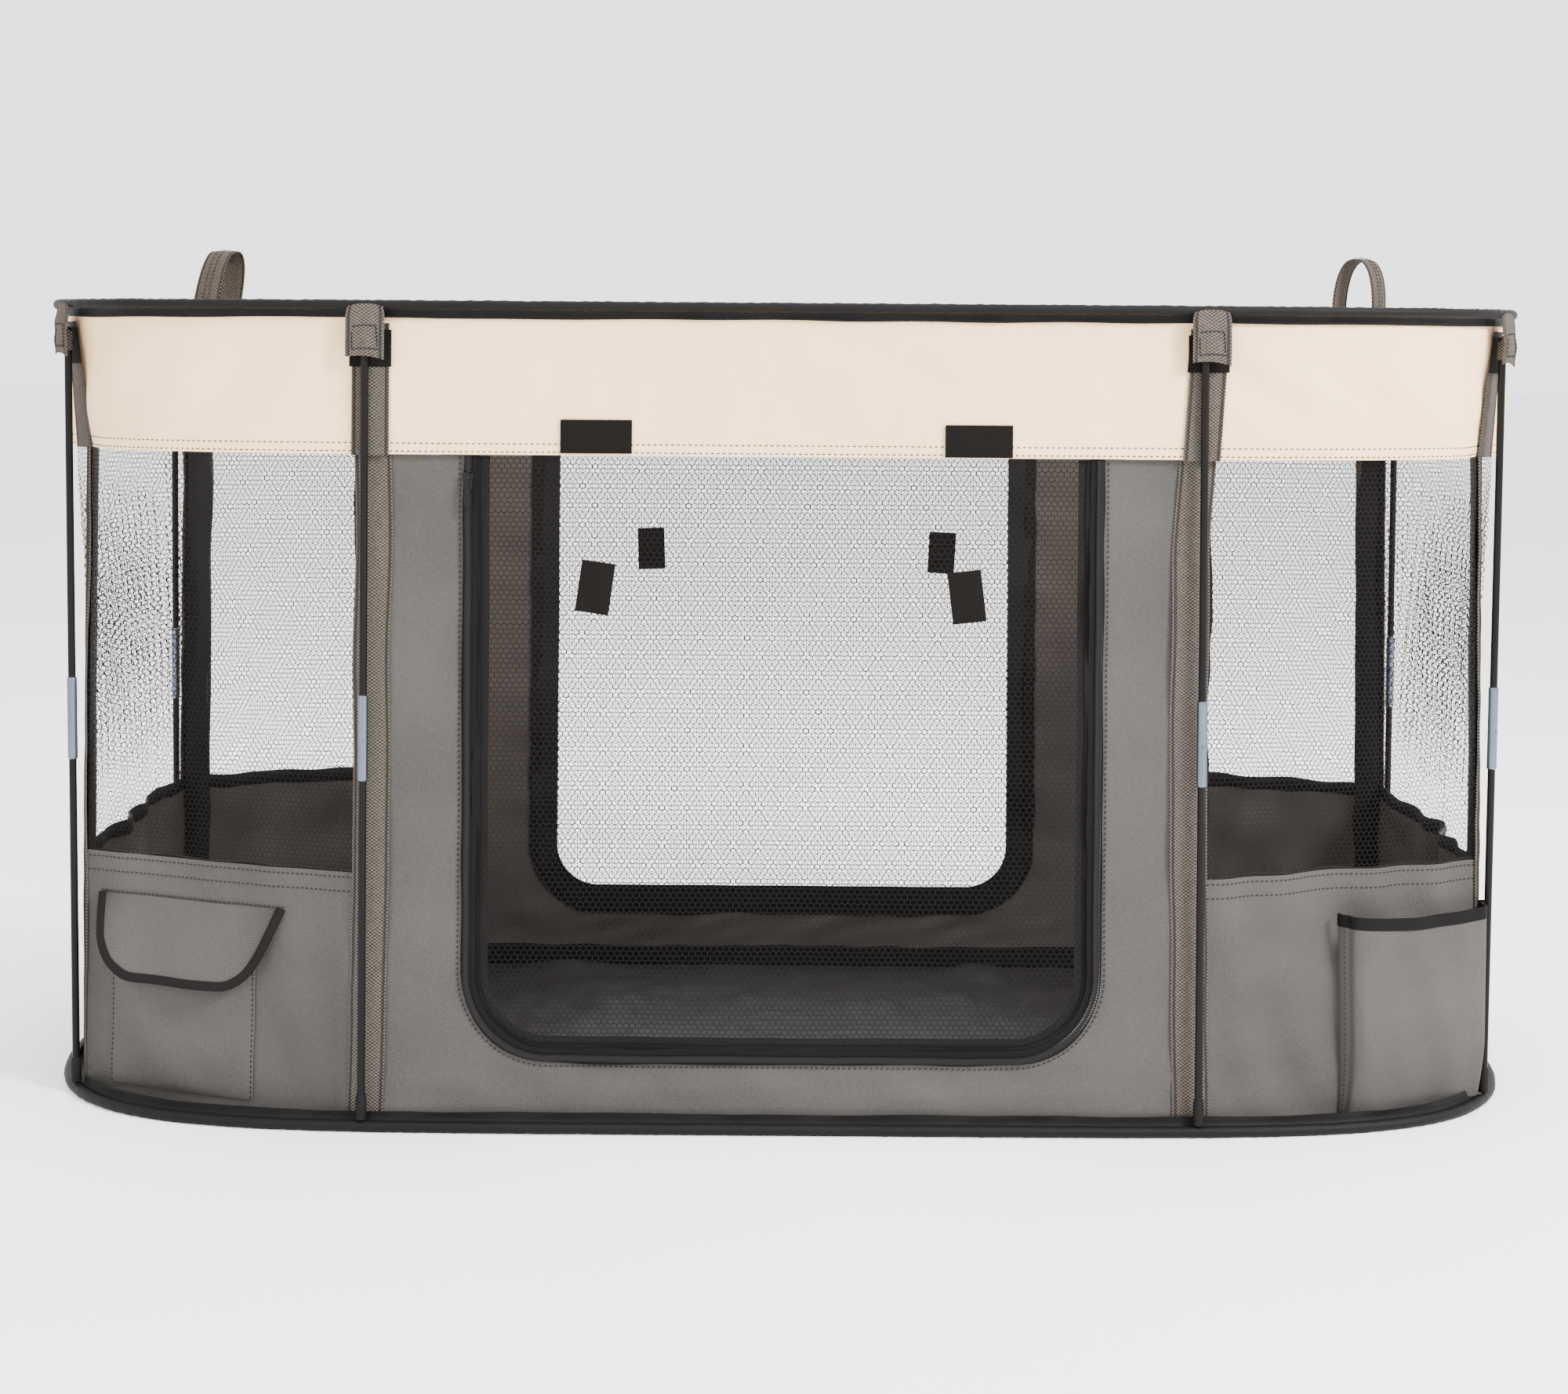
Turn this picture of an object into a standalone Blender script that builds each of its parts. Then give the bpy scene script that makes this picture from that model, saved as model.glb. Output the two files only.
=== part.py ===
"""Folding fabric playpen for pets: two sprung wire rings, eight jointed poles and a sewn wall with two doors.

Metres, +Z up. The origin is on the ground at the middle of the pen, and -Y is the front.
"""

import math

import bmesh
import bpy
from mathutils import Vector

# Driving dimensions
BASE_HALF_LENGTH = 0.596
BASE_HALF_DEPTH = 0.271
TOP_HALF_LENGTH = 0.608
TOP_HALF_DEPTH = 0.275
LENGTH_POWER = 6.0
DEPTH_POWER = 3.0
BASE_RING_Z = 0.0040
TOP_RING_Z = 0.6355
HEM_Z = 0.196
BAND_BOTTOM_Z = 0.521
FRONT_POLE_X = 0.322
END_POLE_BASE_X = 0.567
END_POLE_TOP_X = 0.575

# Wire rings and the fabric sleeves that hold them
RING_STEPS = 60
END_STEPS = 28
FACE_STEPS = 6
LENGTH_GAP = 0.0005
WIRE_RADIUS = 0.0018
WIRE_SIDES = 6
SLEEVE_RADIUS = 0.0036
SLEEVE_CLOTH = 0.0008
SLEEVE_ARC_STEPS = 9
SLEEVE_ARC_START = math.radians(225)
SLEEVE_ARC_SWEEP = math.radians(335)
TAIL_OUT = -0.0059
TOP_TAIL_DROP = 0.015
BASE_TAIL_RISE = 0.0095
FLOOR_INSET = 0.0046
FLOOR_BOTTOM_Z = 0.0
FLOOR_TOP_Z = 0.0024

# Sewn walls
WALL_INSET = 0.0120
WALL_CLOTH = 0.0012
WALL_ROWS = 4
WALL_BOTTOM_Z = 0.004
SEAM_GAP = 0.0005
CORNER_GAP = 0.001
BAND_OFFSET = -0.0075
BAND_CLOTH = 0.0010
BAND_TOP_Z = 0.632

# Doors, one in front and one behind, each closed by a zip round three sides
ZIP_HALF_WIDTH = 0.243
ZIP_BOTTOM_Z = 0.055
ZIP_CORNER_RADIUS = 0.065
ZIP_CHAIN_WIDTH = 0.0095
ZIP_CHAIN_THICKNESS = 0.0016
ZIP_EDGE_GAP = 0.0010
DOOR_CLOTH = 0.0010
CORNER_ARC_STEPS = 6
SLIDER_Z = 0.500
SLIDER_SIZE = (0.0090, 0.0020, 0.0130)
SLIDER_STAND_OFF = 0.0011
PULL_SIZE = (0.0052, 0.0009, 0.0230)
PULL_GAP = 0.0003
PULL_PIVOT_BELOW_TOP = 0.0040

# Poles: a glass-fibre rod with a foot cap and, round its middle, the steel ferrule that joins its two lengths
ROD_RADIUS = 0.0030
ROD_SIDES = 12
FOOT_CAP_RADIUS = 0.0043
FOOT_CAP_HEIGHT = 0.018
FOOT_Z = 0.0088
POLE_TOP_Z = 0.6170
FERRULE_RADIUS = 0.0040
FERRULE_BORE_RADIUS = 0.0033
FERRULE_BOTTOM_Z = 0.270
FERRULE_TOP_Z = 0.336

# Webbing
TAB_WIDTH = 0.029
TAB_BOTTOM_Z = 0.594
TAB_TOP_Z = 0.635
TAB_INNER_OUT = 0.0045
TAB_CLOTH = 0.0016
HANDLE_X = 0.550
HANDLE_SPAN = 0.042
HANDLE_HEIGHT = 0.050
HANDLE_WIDTH = 0.024
HANDLE_CLOTH = 0.0020
HANDLE_FOOT_Z = 0.6430
HANDLE_STEPS = 14

# Pockets on the front corner panels
CARGO_POCKET = {"along": 0.028, "width": 0.134, "depth": 0.0086, "bottom": 0.015, "top": 0.125}
OPEN_POCKET = {"along": 0.108, "width": 0.134, "depth": 0.024, "bottom": 0.016, "top": 0.170}
POCKET_STAND_OFF = 0.0011
POCKET_CLOTH = 0.0012
FLAP_TOP_WIDTH = 0.168
FLAP_BOTTOM_WIDTH = 0.140
FLAP_TOP_Z = 0.170
FLAP_BOTTOM_Z = 0.108
FLAP_TOP_OUT = 0.0022
FLAP_BOTTOM_OUT = 0.0150
FLAP_CLOTH = 0.0012
FLAP_CORNER = 0.022

# Corners of the pen, anticlockwise from above, starting at the front left
POLE_NAMES = (
    "front_left",
    "front_right",
    "right_front",
    "right_rear",
    "rear_right",
    "rear_left",
    "left_rear",
    "left_front",
)
POLE_SIDES = ((-1, -1), (1, -1), (1, -1), (1, 1), (1, 1), (-1, 1), (-1, 1), (-1, -1))
FRONT_PANEL, FRONT_RIGHT_PANEL, REAR_PANEL, FRONT_LEFT_PANEL = 0, 1, 4, 7


def material(name, colour, roughness, metallic=0.0):
    """A plain finish, made once and shared by name."""
    found = bpy.data.materials.get(name)
    if found:
        return found
    made = bpy.data.materials.new(name)
    made.use_nodes = True
    shader = made.node_tree.nodes["Principled BSDF"]
    shader.inputs["Base Color"].default_value = (*colour, 1.0)
    shader.inputs["Roughness"].default_value = roughness
    shader.inputs["Metallic"].default_value = metallic
    return made


def grey_cloth():
    return material("grey_cloth", (0.22, 0.21, 0.20), 0.75)


def cream_cloth():
    return material("cream_cloth", (0.80, 0.70, 0.56), 0.75)


def black_cloth():
    return material("black_cloth", (0.016, 0.015, 0.014), 0.6)


def black_net():
    return material("black_net", (0.03, 0.027, 0.026), 0.7)


def grey_webbing():
    return material("grey_webbing", (0.26, 0.23, 0.20), 0.8)


def glass_fibre():
    return material("glass_fibre", (0.020, 0.018, 0.016), 0.3)


def zinc_steel():
    return material("zinc_steel", (0.50, 0.55, 0.62), 0.35, 1.0)


def spring_steel():
    return material("spring_steel", (0.35, 0.35, 0.36), 0.4, 1.0)


def black_zip():
    return material("black_zip", (0.014, 0.013, 0.013), 0.4)


def new_object(name, points, faces, finish):
    """An object with this mesh, its normals made to point outwards, and round pieces shaded smooth."""
    mesh = bpy.data.meshes.new(name)
    mesh.from_pydata([tuple(p) for p in points], [], faces)
    shape = bmesh.new()
    shape.from_mesh(mesh)
    bmesh.ops.recalc_face_normals(shape, faces=shape.faces)
    shape.to_mesh(mesh)
    shape.free()
    mesh.shade_smooth()
    mesh.set_sharp_from_angle(angle=math.radians(40))
    mesh.materials.append(finish)
    made = bpy.data.objects.new(name, mesh)
    bpy.context.scene.collection.objects.link(made)
    return made


def origin_at(made, point):
    """Moves the object's origin to this point, a joint's axis, and leaves the mesh where it is."""
    for vertex in made.data.vertices:
        vertex.co -= point
    made.location = point
    return made


def between(low, high, share):
    return low + (high - low) * share


def height_share(z):
    """0 at the base ring and 1 at the top ring."""
    return (z - BASE_RING_Z) / (TOP_RING_Z - BASE_RING_Z)


def ring_halves(z):
    """Half length and half depth of the pen's outline at height z."""
    share = height_share(z)
    return (
        between(BASE_HALF_LENGTH, TOP_HALF_LENGTH, share),
        between(BASE_HALF_DEPTH, TOP_HALF_DEPTH, share),
    )


def outline_y(x, z):
    """How far the outline is from the X axis at this x: a superellipse with rounded ends."""
    half_length, half_depth = ring_halves(z)
    return half_depth * (1 - (abs(x) / half_length) ** LENGTH_POWER) ** (1 / DEPTH_POWER)


def outward_at(point, z):
    """The level direction square to the outline at a point on it."""
    half_length, half_depth = ring_halves(z)
    slope_x = LENGTH_POWER * abs(point.x) ** (LENGTH_POWER - 1) / half_length**LENGTH_POWER
    slope_y = DEPTH_POWER * abs(point.y) ** (DEPTH_POWER - 1) / half_depth**DEPTH_POWER
    away = Vector((math.copysign(slope_x, point.x), math.copysign(slope_y, point.y), 0))
    return away.normalized()


def outline(z, turns):
    """Points of the ring's centreline at height z and these turns, with the outward direction at each."""
    half_length, half_depth = ring_halves(z)
    made = []
    for turn in turns:
        across, along = math.cos(turn), math.sin(turn)
        point = Vector((
            half_length * math.copysign(abs(across) ** (2 / LENGTH_POWER), across),
            half_depth * math.copysign(abs(along) ** (2 / DEPTH_POWER), along),
            z,
        ))
        made.append((point, outward_at(point, z)))
    return made


def full_turns():
    return [2 * math.pi * step / RING_STEPS for step in range(RING_STEPS)]


def swept_ring(name, z, section, finish, turns=None):
    """A closed section of (outward, up) points carried round the outline at height z, all the way or over these turns."""
    points, faces = [], []
    count = len(section)
    spots = outline(z, turns or full_turns())
    for point, outward in spots:
        points += [point + outward * out + Vector((0, 0, up)) for out, up in section]
    for ring in range(len(spots) - 1 if turns else len(spots)):
        here, there = ring * count, (ring + 1) % len(spots) * count
        for k in range(count):
            after = (k + 1) % count
            faces.append((here + k, here + after, there + after, there + k))
    if turns:
        faces.append(tuple(range(count)))
        faces.append(tuple(range((len(spots) - 1) * count, len(spots) * count)))
    return new_object(name, points, faces, finish)


def swept_lengths(name, z, section, finish):
    """The section round the outline in four lengths, which meet at the front and rear poles."""
    half_length = ring_halves(z)[0]

    def turn_at(x):
        return math.acos((x / half_length) ** (LENGTH_POWER / 2))

    end, face = turn_at(FRONT_POLE_X + LENGTH_GAP / 2), turn_at(FRONT_POLE_X - LENGTH_GAP / 2)
    lengths = {
        "right": (-end, end, END_STEPS),
        "rear": (face, math.pi - face, FACE_STEPS),
        "left": (math.pi - end, math.pi + end, END_STEPS),
        "front": (math.pi + face, 2 * math.pi - face, FACE_STEPS),
    }
    for side, (start, stop, steps) in lengths.items():
        turns = [between(start, stop, step / steps) for step in range(steps + 1)]
        swept_ring(f"{name}_{side}", z, section, finish, turns)


def circle(radius, sides):
    turns = [2 * math.pi * k / sides for k in range(sides)]
    return [(radius * math.cos(t), radius * math.sin(t)) for t in turns]


def thick_path(path, thickness):
    """The closed outline of a strip of cloth whose middle follows this open path."""
    left, right = [], []
    for k, (x, y) in enumerate(path):
        before, after = path[max(k - 1, 0)], path[min(k + 1, len(path) - 1)]
        along = Vector((after[0] - before[0], after[1] - before[1])).normalized()
        side = Vector((-along.y, along.x)) * (thickness / 2)
        left.append((x + side.x, y + side.y))
        right.append((x - side.x, y - side.y))
    return left + right[::-1]


def sleeve_section(tail_height):
    """Cloth folded round the wire, open by a slit, with a tail that runs to the wall. tail_height is down if negative."""
    down = math.copysign(1.0, -tail_height)
    path = []
    for step in range(SLEEVE_ARC_STEPS + 1):
        turn = SLEEVE_ARC_START + SLEEVE_ARC_SWEEP * step / SLEEVE_ARC_STEPS
        path.append((SLEEVE_RADIUS * math.cos(turn), SLEEVE_RADIUS * math.sin(turn) * down))
    path.append((TAIL_OUT, -0.0055 * down))
    path.append((TAIL_OUT, tail_height))
    return thick_path(path, SLEEVE_CLOTH)


def rings():
    wire = circle(WIRE_RADIUS, WIRE_SIDES)
    swept_ring("base_ring_wire", BASE_RING_Z, wire, spring_steel())
    swept_ring("top_ring_wire", TOP_RING_Z, wire, spring_steel())
    swept_lengths("base_ring_sleeve", BASE_RING_Z, sleeve_section(BASE_TAIL_RISE), black_cloth())
    swept_lengths("top_ring_sleeve", TOP_RING_Z, sleeve_section(-TOP_TAIL_DROP), black_cloth())


def band_section():
    low, high = BAND_BOTTOM_Z - TOP_RING_Z, BAND_TOP_Z - TOP_RING_Z
    inner, outer = BAND_OFFSET - BAND_CLOTH / 2, BAND_OFFSET + BAND_CLOTH / 2
    return [(inner, low), (outer, low), (outer, high), (inner, high)]


def floor_panel():
    rim = [point - outward * FLOOR_INSET for point, outward in outline(BASE_RING_Z, full_turns())]
    points = [Vector((p.x, p.y, z)) for z in (FLOOR_BOTTOM_Z, FLOOR_TOP_Z) for p in rim]
    count = len(rim)
    faces = [tuple(range(count)), tuple(range(count, 2 * count))]
    for k in range(count):
        after = (k + 1) % count
        faces.append((k, after, count + after, count + k))
    new_object("floor_panel", points, faces, black_cloth())


def pole_point(k, z):
    """Where the axis of pole k is at height z. The end poles lean out a little towards the top."""
    side_x, side_y = POLE_SIDES[k]
    at_front = k in (0, 1, 4, 5)
    share = height_share(z)
    x = FRONT_POLE_X if at_front else between(END_POLE_BASE_X, END_POLE_TOP_X, share)
    return Vector((side_x * x, side_y * outline_y(x, z), z))


def inset_corner(k, z, inset):
    """The corner of the wall by pole k: where the lines inside the two chords that meet there cross."""
    before, here, after = (pole_point((k + step) % 8, z).xy for step in (-1, 0, 1))
    first, second = (here - before).normalized(), (after - here).normalized()
    first_in = Vector((-first.y, first.x)) * inset
    second_in = Vector((-second.y, second.x)) * inset
    turn = first.x * second.y - first.y * second.x
    gap = second_in - first_in
    reach = (gap.x * second.y - gap.y * second.x) / turn
    corner = here + first_in + first * reach
    return Vector((corner.x, corner.y, z))


def wall_strip(name, corners, low, high, thickness, finish):
    """A strip of cloth that bends at these corners of the wall, ending just short of the first and last."""
    count = len(corners)
    points, faces = [], []
    for row in range(WALL_ROWS + 1):
        for inset in (WALL_INSET - thickness / 2, WALL_INSET + thickness / 2):
            run = [inset_corner(k, between(low, high, row / WALL_ROWS), inset) for k in corners]
            run[0] += (run[1] - run[0]).normalized() * CORNER_GAP
            run[-1] += (run[-2] - run[-1]).normalized() * CORNER_GAP
            points += run
    for row in range(WALL_ROWS):
        for side in (0, count):
            for k in range(count - 1):
                here = 2 * count * row + side + k
                faces.append((here, here + 1, here + 1 + 2 * count, here + 2 * count))
        for k in (0, count - 1):
            here = 2 * count * row + k
            faces.append((here, here + count, here + 3 * count, here + 2 * count))
    for base in (0, 2 * count * WALL_ROWS):
        for k in range(base, base + count - 1):
            faces.append((k, k + 1, k + 1 + count, k + count))
    new_object(name, points, faces, finish)


class PanelFrame:
    """A flat stretch of wall between pole k and the next. Places on it are (along, up, out), from its middle."""

    def __init__(self, k):
        self.k = k
        start, end = self.corners(0)
        self.length = (end - start).length

    def corners(self, z):
        return inset_corner(self.k, z, WALL_INSET), inset_corner((self.k + 1) % 8, z, WALL_INSET)

    def place(self, along, z, out):
        start, end = self.corners(z)
        direction = (end - start).normalized()
        outward = Vector((direction.y, -direction.x, 0))
        return (start + end) / 2 + direction * along + outward * out


def plate(name, frame, shape, out, thickness, finish):
    """A flat piece on the wall with this outline of (along, up) points, its middle this far out."""
    sides = (out - thickness / 2, out + thickness / 2)
    points = [frame.place(along, up, side) for side in sides for along, up in shape]
    count = len(shape)
    faces = [tuple(range(count)), tuple(range(count, 2 * count))]
    for k in range(count):
        after = (k + 1) % count
        faces.append((k, after, count + after, count + k))
    return new_object(name, points, faces, finish)


def u_line(half_width, bottom, radius, top):
    """Points down the left, round the two lower corners and up the right."""
    line = [(-half_width, top)]
    for middle, start in ((-half_width + radius, math.pi), (half_width - radius, 1.5 * math.pi)):
        for step in range(CORNER_ARC_STEPS + 1):
            turn = start + 0.5 * math.pi * step / CORNER_ARC_STEPS
            line.append((middle + radius * math.cos(turn), bottom + radius + radius * math.sin(turn)))
    return line + [(half_width, top)]


def u_line_beside_zip(offset, top):
    """The zip's own line, moved this far away from the door."""
    return u_line(
        ZIP_HALF_WIDTH + offset, ZIP_BOTTOM_Z - offset, ZIP_CORNER_RADIUS + offset, top
    )


def doorway(side, panel):
    """The sewn surround, zip, door, slider and pull of one doorway."""
    frame = PanelFrame(panel)
    top = BAND_BOTTOM_Z - SEAM_GAP
    half_chain = ZIP_CHAIN_WIDTH / 2
    edge = frame.length / 2 - CORNER_GAP
    opening = u_line_beside_zip(half_chain + ZIP_EDGE_GAP, top)
    outer_edge = [(edge, top), (edge, WALL_BOTTOM_Z), (-edge, WALL_BOTTOM_Z), (-edge, top)]
    plate(f"{side}_door_surround", frame, opening + outer_edge, 0, WALL_CLOTH, grey_cloth())
    chain = u_line_beside_zip(half_chain, top)
    chain += u_line_beside_zip(-half_chain, top)[::-1]
    plate(f"{side}_zip_chain", frame, chain, 0, ZIP_CHAIN_THICKNESS, black_zip())
    door_top = top - SEAM_GAP
    leaf = u_line_beside_zip(-half_chain - ZIP_EDGE_GAP, door_top)
    door = plate(f"{side}_door", frame, leaf, 0, DOOR_CLOTH, black_net())
    origin_at(door, frame.place(0, door_top, 0.0045))
    slider_and_pull(side, frame)


def slider_and_pull(side, frame):
    """The zip slider in front of the chain, at the upper left, with its pull hanging from it."""
    width, depth, height = SLIDER_SIZE
    middle_z = SLIDER_Z
    waist = width * 0.32
    body = [
        (-width / 2, middle_z + height / 2),
        (-waist, middle_z - height / 2),
        (waist, middle_z - height / 2),
        (width / 2, middle_z + height / 2),
    ]
    out = SLIDER_STAND_OFF + depth / 2
    shape = [(along - ZIP_HALF_WIDTH, up) for along, up in body]
    slider = plate(f"{side}_zip_slider", frame, shape, out, depth, black_zip())
    origin_at(slider, frame.place(-ZIP_HALF_WIDTH, middle_z, out))
    pull_width, pull_depth, pull_length = PULL_SIZE
    pull_top = middle_z + height / 2 - PULL_PIVOT_BELOW_TOP
    pull_out = SLIDER_STAND_OFF + depth + PULL_GAP + pull_depth / 2
    narrow = pull_width * 0.36
    tag = [
        (-narrow, pull_top),
        (-pull_width / 2, pull_top - pull_length * 0.45),
        (-pull_width / 2, pull_top - pull_length),
        (pull_width / 2, pull_top - pull_length),
        (pull_width / 2, pull_top - pull_length * 0.45),
        (narrow, pull_top),
    ]
    shape = [(along - ZIP_HALF_WIDTH, up) for along, up in tag]
    pull = plate(f"{side}_zip_pull", frame, shape, pull_out, pull_depth, black_zip())
    origin_at(pull, frame.place(-ZIP_HALF_WIDTH, pull_top, pull_out))


def pocket(name, frame, size):
    """A pocket bag: a back, front, two sides and a bottom, open at the top."""
    start = size["along"] - frame.length / 2
    inner_gap = POCKET_CLOTH
    out_low, out_high = POCKET_STAND_OFF, POCKET_STAND_OFF + size["depth"]
    outer = (start, start + size["width"], out_low, out_high)
    inner = (outer[0] + inner_gap, outer[1] - inner_gap, out_low + inner_gap, out_high - inner_gap)
    points = []
    levels = (
        (outer, size["bottom"]),
        (outer, size["top"]),
        (inner, size["top"]),
        (inner, size["bottom"] + inner_gap),
    )
    for (left, right, low, high), z in levels:
        points += [frame.place(a, z, o) for a, o in ((left, low), (right, low), (right, high), (left, high))]
    faces = [(0, 1, 2, 3), (12, 13, 14, 15)]
    for level in range(3):
        for k in range(4):
            after = (k + 1) % 4
            faces.append((level * 4 + k, level * 4 + after, level * 4 + 4 + after, level * 4 + 4 + k))
    new_object(name, points, faces, grey_cloth())


def flap_outline():
    """Half of the flap's outline, from its top edge to the middle of its bottom, as (half width, up)."""
    side = FLAP_BOTTOM_WIDTH / 2
    return [
        (FLAP_TOP_WIDTH / 2, FLAP_TOP_Z),
        (side + 0.004, FLAP_BOTTOM_Z + FLAP_CORNER),
        (side - 0.006, FLAP_BOTTOM_Z + 0.005),
        (side - FLAP_CORNER, FLAP_BOTTOM_Z),
    ]


def cargo_pocket_flap(frame):
    """The flap, sewn to the wall along its top edge and leaning out over the pocket."""
    middle = CARGO_POCKET["along"] + CARGO_POCKET["width"] / 2 - frame.length / 2
    half = flap_outline()
    shape = [(middle - a, z) for a, z in half] + [(middle + a, z) for a, z in half[::-1]]
    points = []
    for side in (-FLAP_CLOTH / 2, FLAP_CLOTH / 2):
        for along, z in shape:
            drop = (FLAP_TOP_Z - z) / (FLAP_TOP_Z - FLAP_BOTTOM_Z)
            points.append(frame.place(along, z, between(FLAP_TOP_OUT, FLAP_BOTTOM_OUT, drop) + side))
    count = len(shape)
    faces = [tuple(range(count)), tuple(range(count, 2 * count))]
    for k in range(count):
        after = (k + 1) % count
        faces.append((k, after, count + after, count + k))
    flap = new_object("cargo_pocket_flap", points, faces, grey_cloth())
    origin_at(flap, frame.place(middle, FLAP_TOP_Z, FLAP_TOP_OUT))


def turned(name, k, profile, closed, finish):
    """A round piece about pole k's axis. profile is (radius, z) points, and closed joins its last to its first."""
    points, faces = [], []
    for radius, z in profile:
        middle = pole_point(k, z)
        points += [middle + Vector((x, y, 0)) for x, y in circle(radius, ROD_SIDES)]
    rows = len(profile)
    for row in range(rows if closed else rows - 1):
        here, there = row * ROD_SIDES, (row + 1) % rows * ROD_SIDES
        for side in range(ROD_SIDES):
            after = (side + 1) % ROD_SIDES
            faces.append((here + side, here + after, there + after, there + side))
    if not closed:
        faces.append(tuple(range(ROD_SIDES)))
        faces.append(tuple(range((rows - 1) * ROD_SIDES, rows * ROD_SIDES)))
    return new_object(name, points, faces, finish)


def pole(k):
    """The rod, ferrule and webbing tab of one pole, all turning about the base ring below its foot."""
    name = POLE_NAMES[k]
    pivot = bpy.data.objects.new(f"{name}_pole_pivot", None)
    pivot.location = pole_point(k, BASE_RING_Z)
    bpy.context.scene.collection.objects.link(pivot)
    cap_top = FOOT_Z + FOOT_CAP_HEIGHT
    rod = [
        (FOOT_CAP_RADIUS, FOOT_Z),
        (FOOT_CAP_RADIUS, cap_top),
        (ROD_RADIUS, cap_top + 0.0005),
        (ROD_RADIUS, POLE_TOP_Z),
    ]
    ferrule = [
        (FERRULE_RADIUS, FERRULE_BOTTOM_Z),
        (FERRULE_RADIUS, FERRULE_TOP_Z),
        (FERRULE_BORE_RADIUS, FERRULE_TOP_Z),
        (FERRULE_BORE_RADIUS, FERRULE_BOTTOM_Z),
    ]
    pieces = [
        turned(f"{name}_rod", k, rod, False, glass_fibre()),
        turned(f"{name}_ferrule", k, ferrule, True, zinc_steel()),
        webbing_tab(k),
    ]
    bpy.context.view_layer.update()
    for piece in pieces:
        piece.parent = pivot
        piece.matrix_parent_inverse = pivot.matrix_world.inverted()


def webbing_tab(k):
    """The tab that hangs from the top ring over the outside of pole k's upper end."""
    top = pole_point(k, TOP_RING_Z)
    outward = outward_at(top, TOP_RING_Z)
    along = Vector((-outward.y, outward.x, 0))
    inner, outer = TAB_INNER_OUT, TAB_INNER_OUT + TAB_CLOTH
    points = []
    for z in (TAB_BOTTOM_Z, TAB_TOP_Z):
        for side, out in ((-1, inner), (1, inner), (1, outer), (-1, outer)):
            spot = top + along * (side * TAB_WIDTH / 2) + outward * out
            points.append(Vector((spot.x, spot.y, z)))
    faces = [(0, 1, 2, 3), (4, 5, 6, 7), (0, 1, 5, 4), (1, 2, 6, 5), (2, 3, 7, 6), (3, 0, 4, 7)]
    tab = new_object(f"{POLE_NAMES[k]}_top_tab", points, faces, grey_webbing())
    hinge = top + outward * (inner + outer) / 2
    return origin_at(tab, Vector((hinge.x, hinge.y, TAB_TOP_Z)))


def handle(side, sign):
    """A loop of webbing that stands on the top ring near a rear corner."""
    foot = Vector((sign * HANDLE_X, outline_y(HANDLE_X, TOP_RING_Z), 0))
    outward = outward_at(foot, TOP_RING_Z)
    along = Vector((-outward.y, outward.x, 0))
    path = []
    for step in range(HANDLE_STEPS + 1):
        turn = math.pi * step / HANDLE_STEPS
        across = -HANDLE_SPAN / 2 * math.copysign(abs(math.cos(turn)) ** 0.7, math.cos(turn))
        path.append((across, HANDLE_FOOT_Z + HANDLE_HEIGHT * math.sin(turn) ** 0.8))
    section = thick_path(path, HANDLE_CLOTH)
    points = []
    for out in (-HANDLE_WIDTH / 2, HANDLE_WIDTH / 2):
        points += [foot + along * a + outward * out + Vector((0, 0, z)) for a, z in section]
    count = len(section)
    faces = []
    for k in range(count):
        after = (k + 1) % count
        faces.append((k, after, count + after, count + k))
    for base in (0, count):
        for k in range(HANDLE_STEPS):
            faces.append((base + k, base + k + 1, base + count - 2 - k, base + count - 1 - k))
    made = new_object(f"{side}_handle", points, faces, grey_webbing())
    origin_at(made, Vector((foot.x, foot.y, TOP_RING_Z)))


def walls():
    """Lower walls and net walls round the two ends, and the band that hangs from the top ring."""
    ends = {"left": (5, 6, 7, 0), "right": (1, 2, 3, 4)}
    for side, corners in ends.items():
        wall_strip(f"{side}_lower_wall", corners, WALL_BOTTOM_Z, HEM_Z, WALL_CLOTH, grey_cloth())
        net_top = BAND_BOTTOM_Z - SEAM_GAP
        wall_strip(f"{side}_net_wall", corners, HEM_Z + SEAM_GAP, net_top, DOOR_CLOTH, black_net())
    swept_lengths("top_band", TOP_RING_Z, band_section(), cream_cloth())


def build():
    for old in list(bpy.data.objects):
        bpy.data.objects.remove(old)
    rings()
    floor_panel()
    walls()
    doorway("front", FRONT_PANEL)
    doorway("rear", REAR_PANEL)
    cargo_panel = PanelFrame(FRONT_LEFT_PANEL)
    pocket("cargo_pocket", cargo_panel, CARGO_POCKET)
    cargo_pocket_flap(cargo_panel)
    pocket("open_pocket", PanelFrame(FRONT_RIGHT_PANEL), OPEN_POCKET)
    for k in range(len(POLE_NAMES)):
        pole(k)
    handle("left", -1)
    handle("right", 1)


build()
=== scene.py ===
"""Looks of the folding pet playpen: sewn cloth, net, webbing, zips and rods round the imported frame."""

import math

import bmesh
import bpy
import numpy as np
from mathutils import Matrix, Vector


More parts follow.
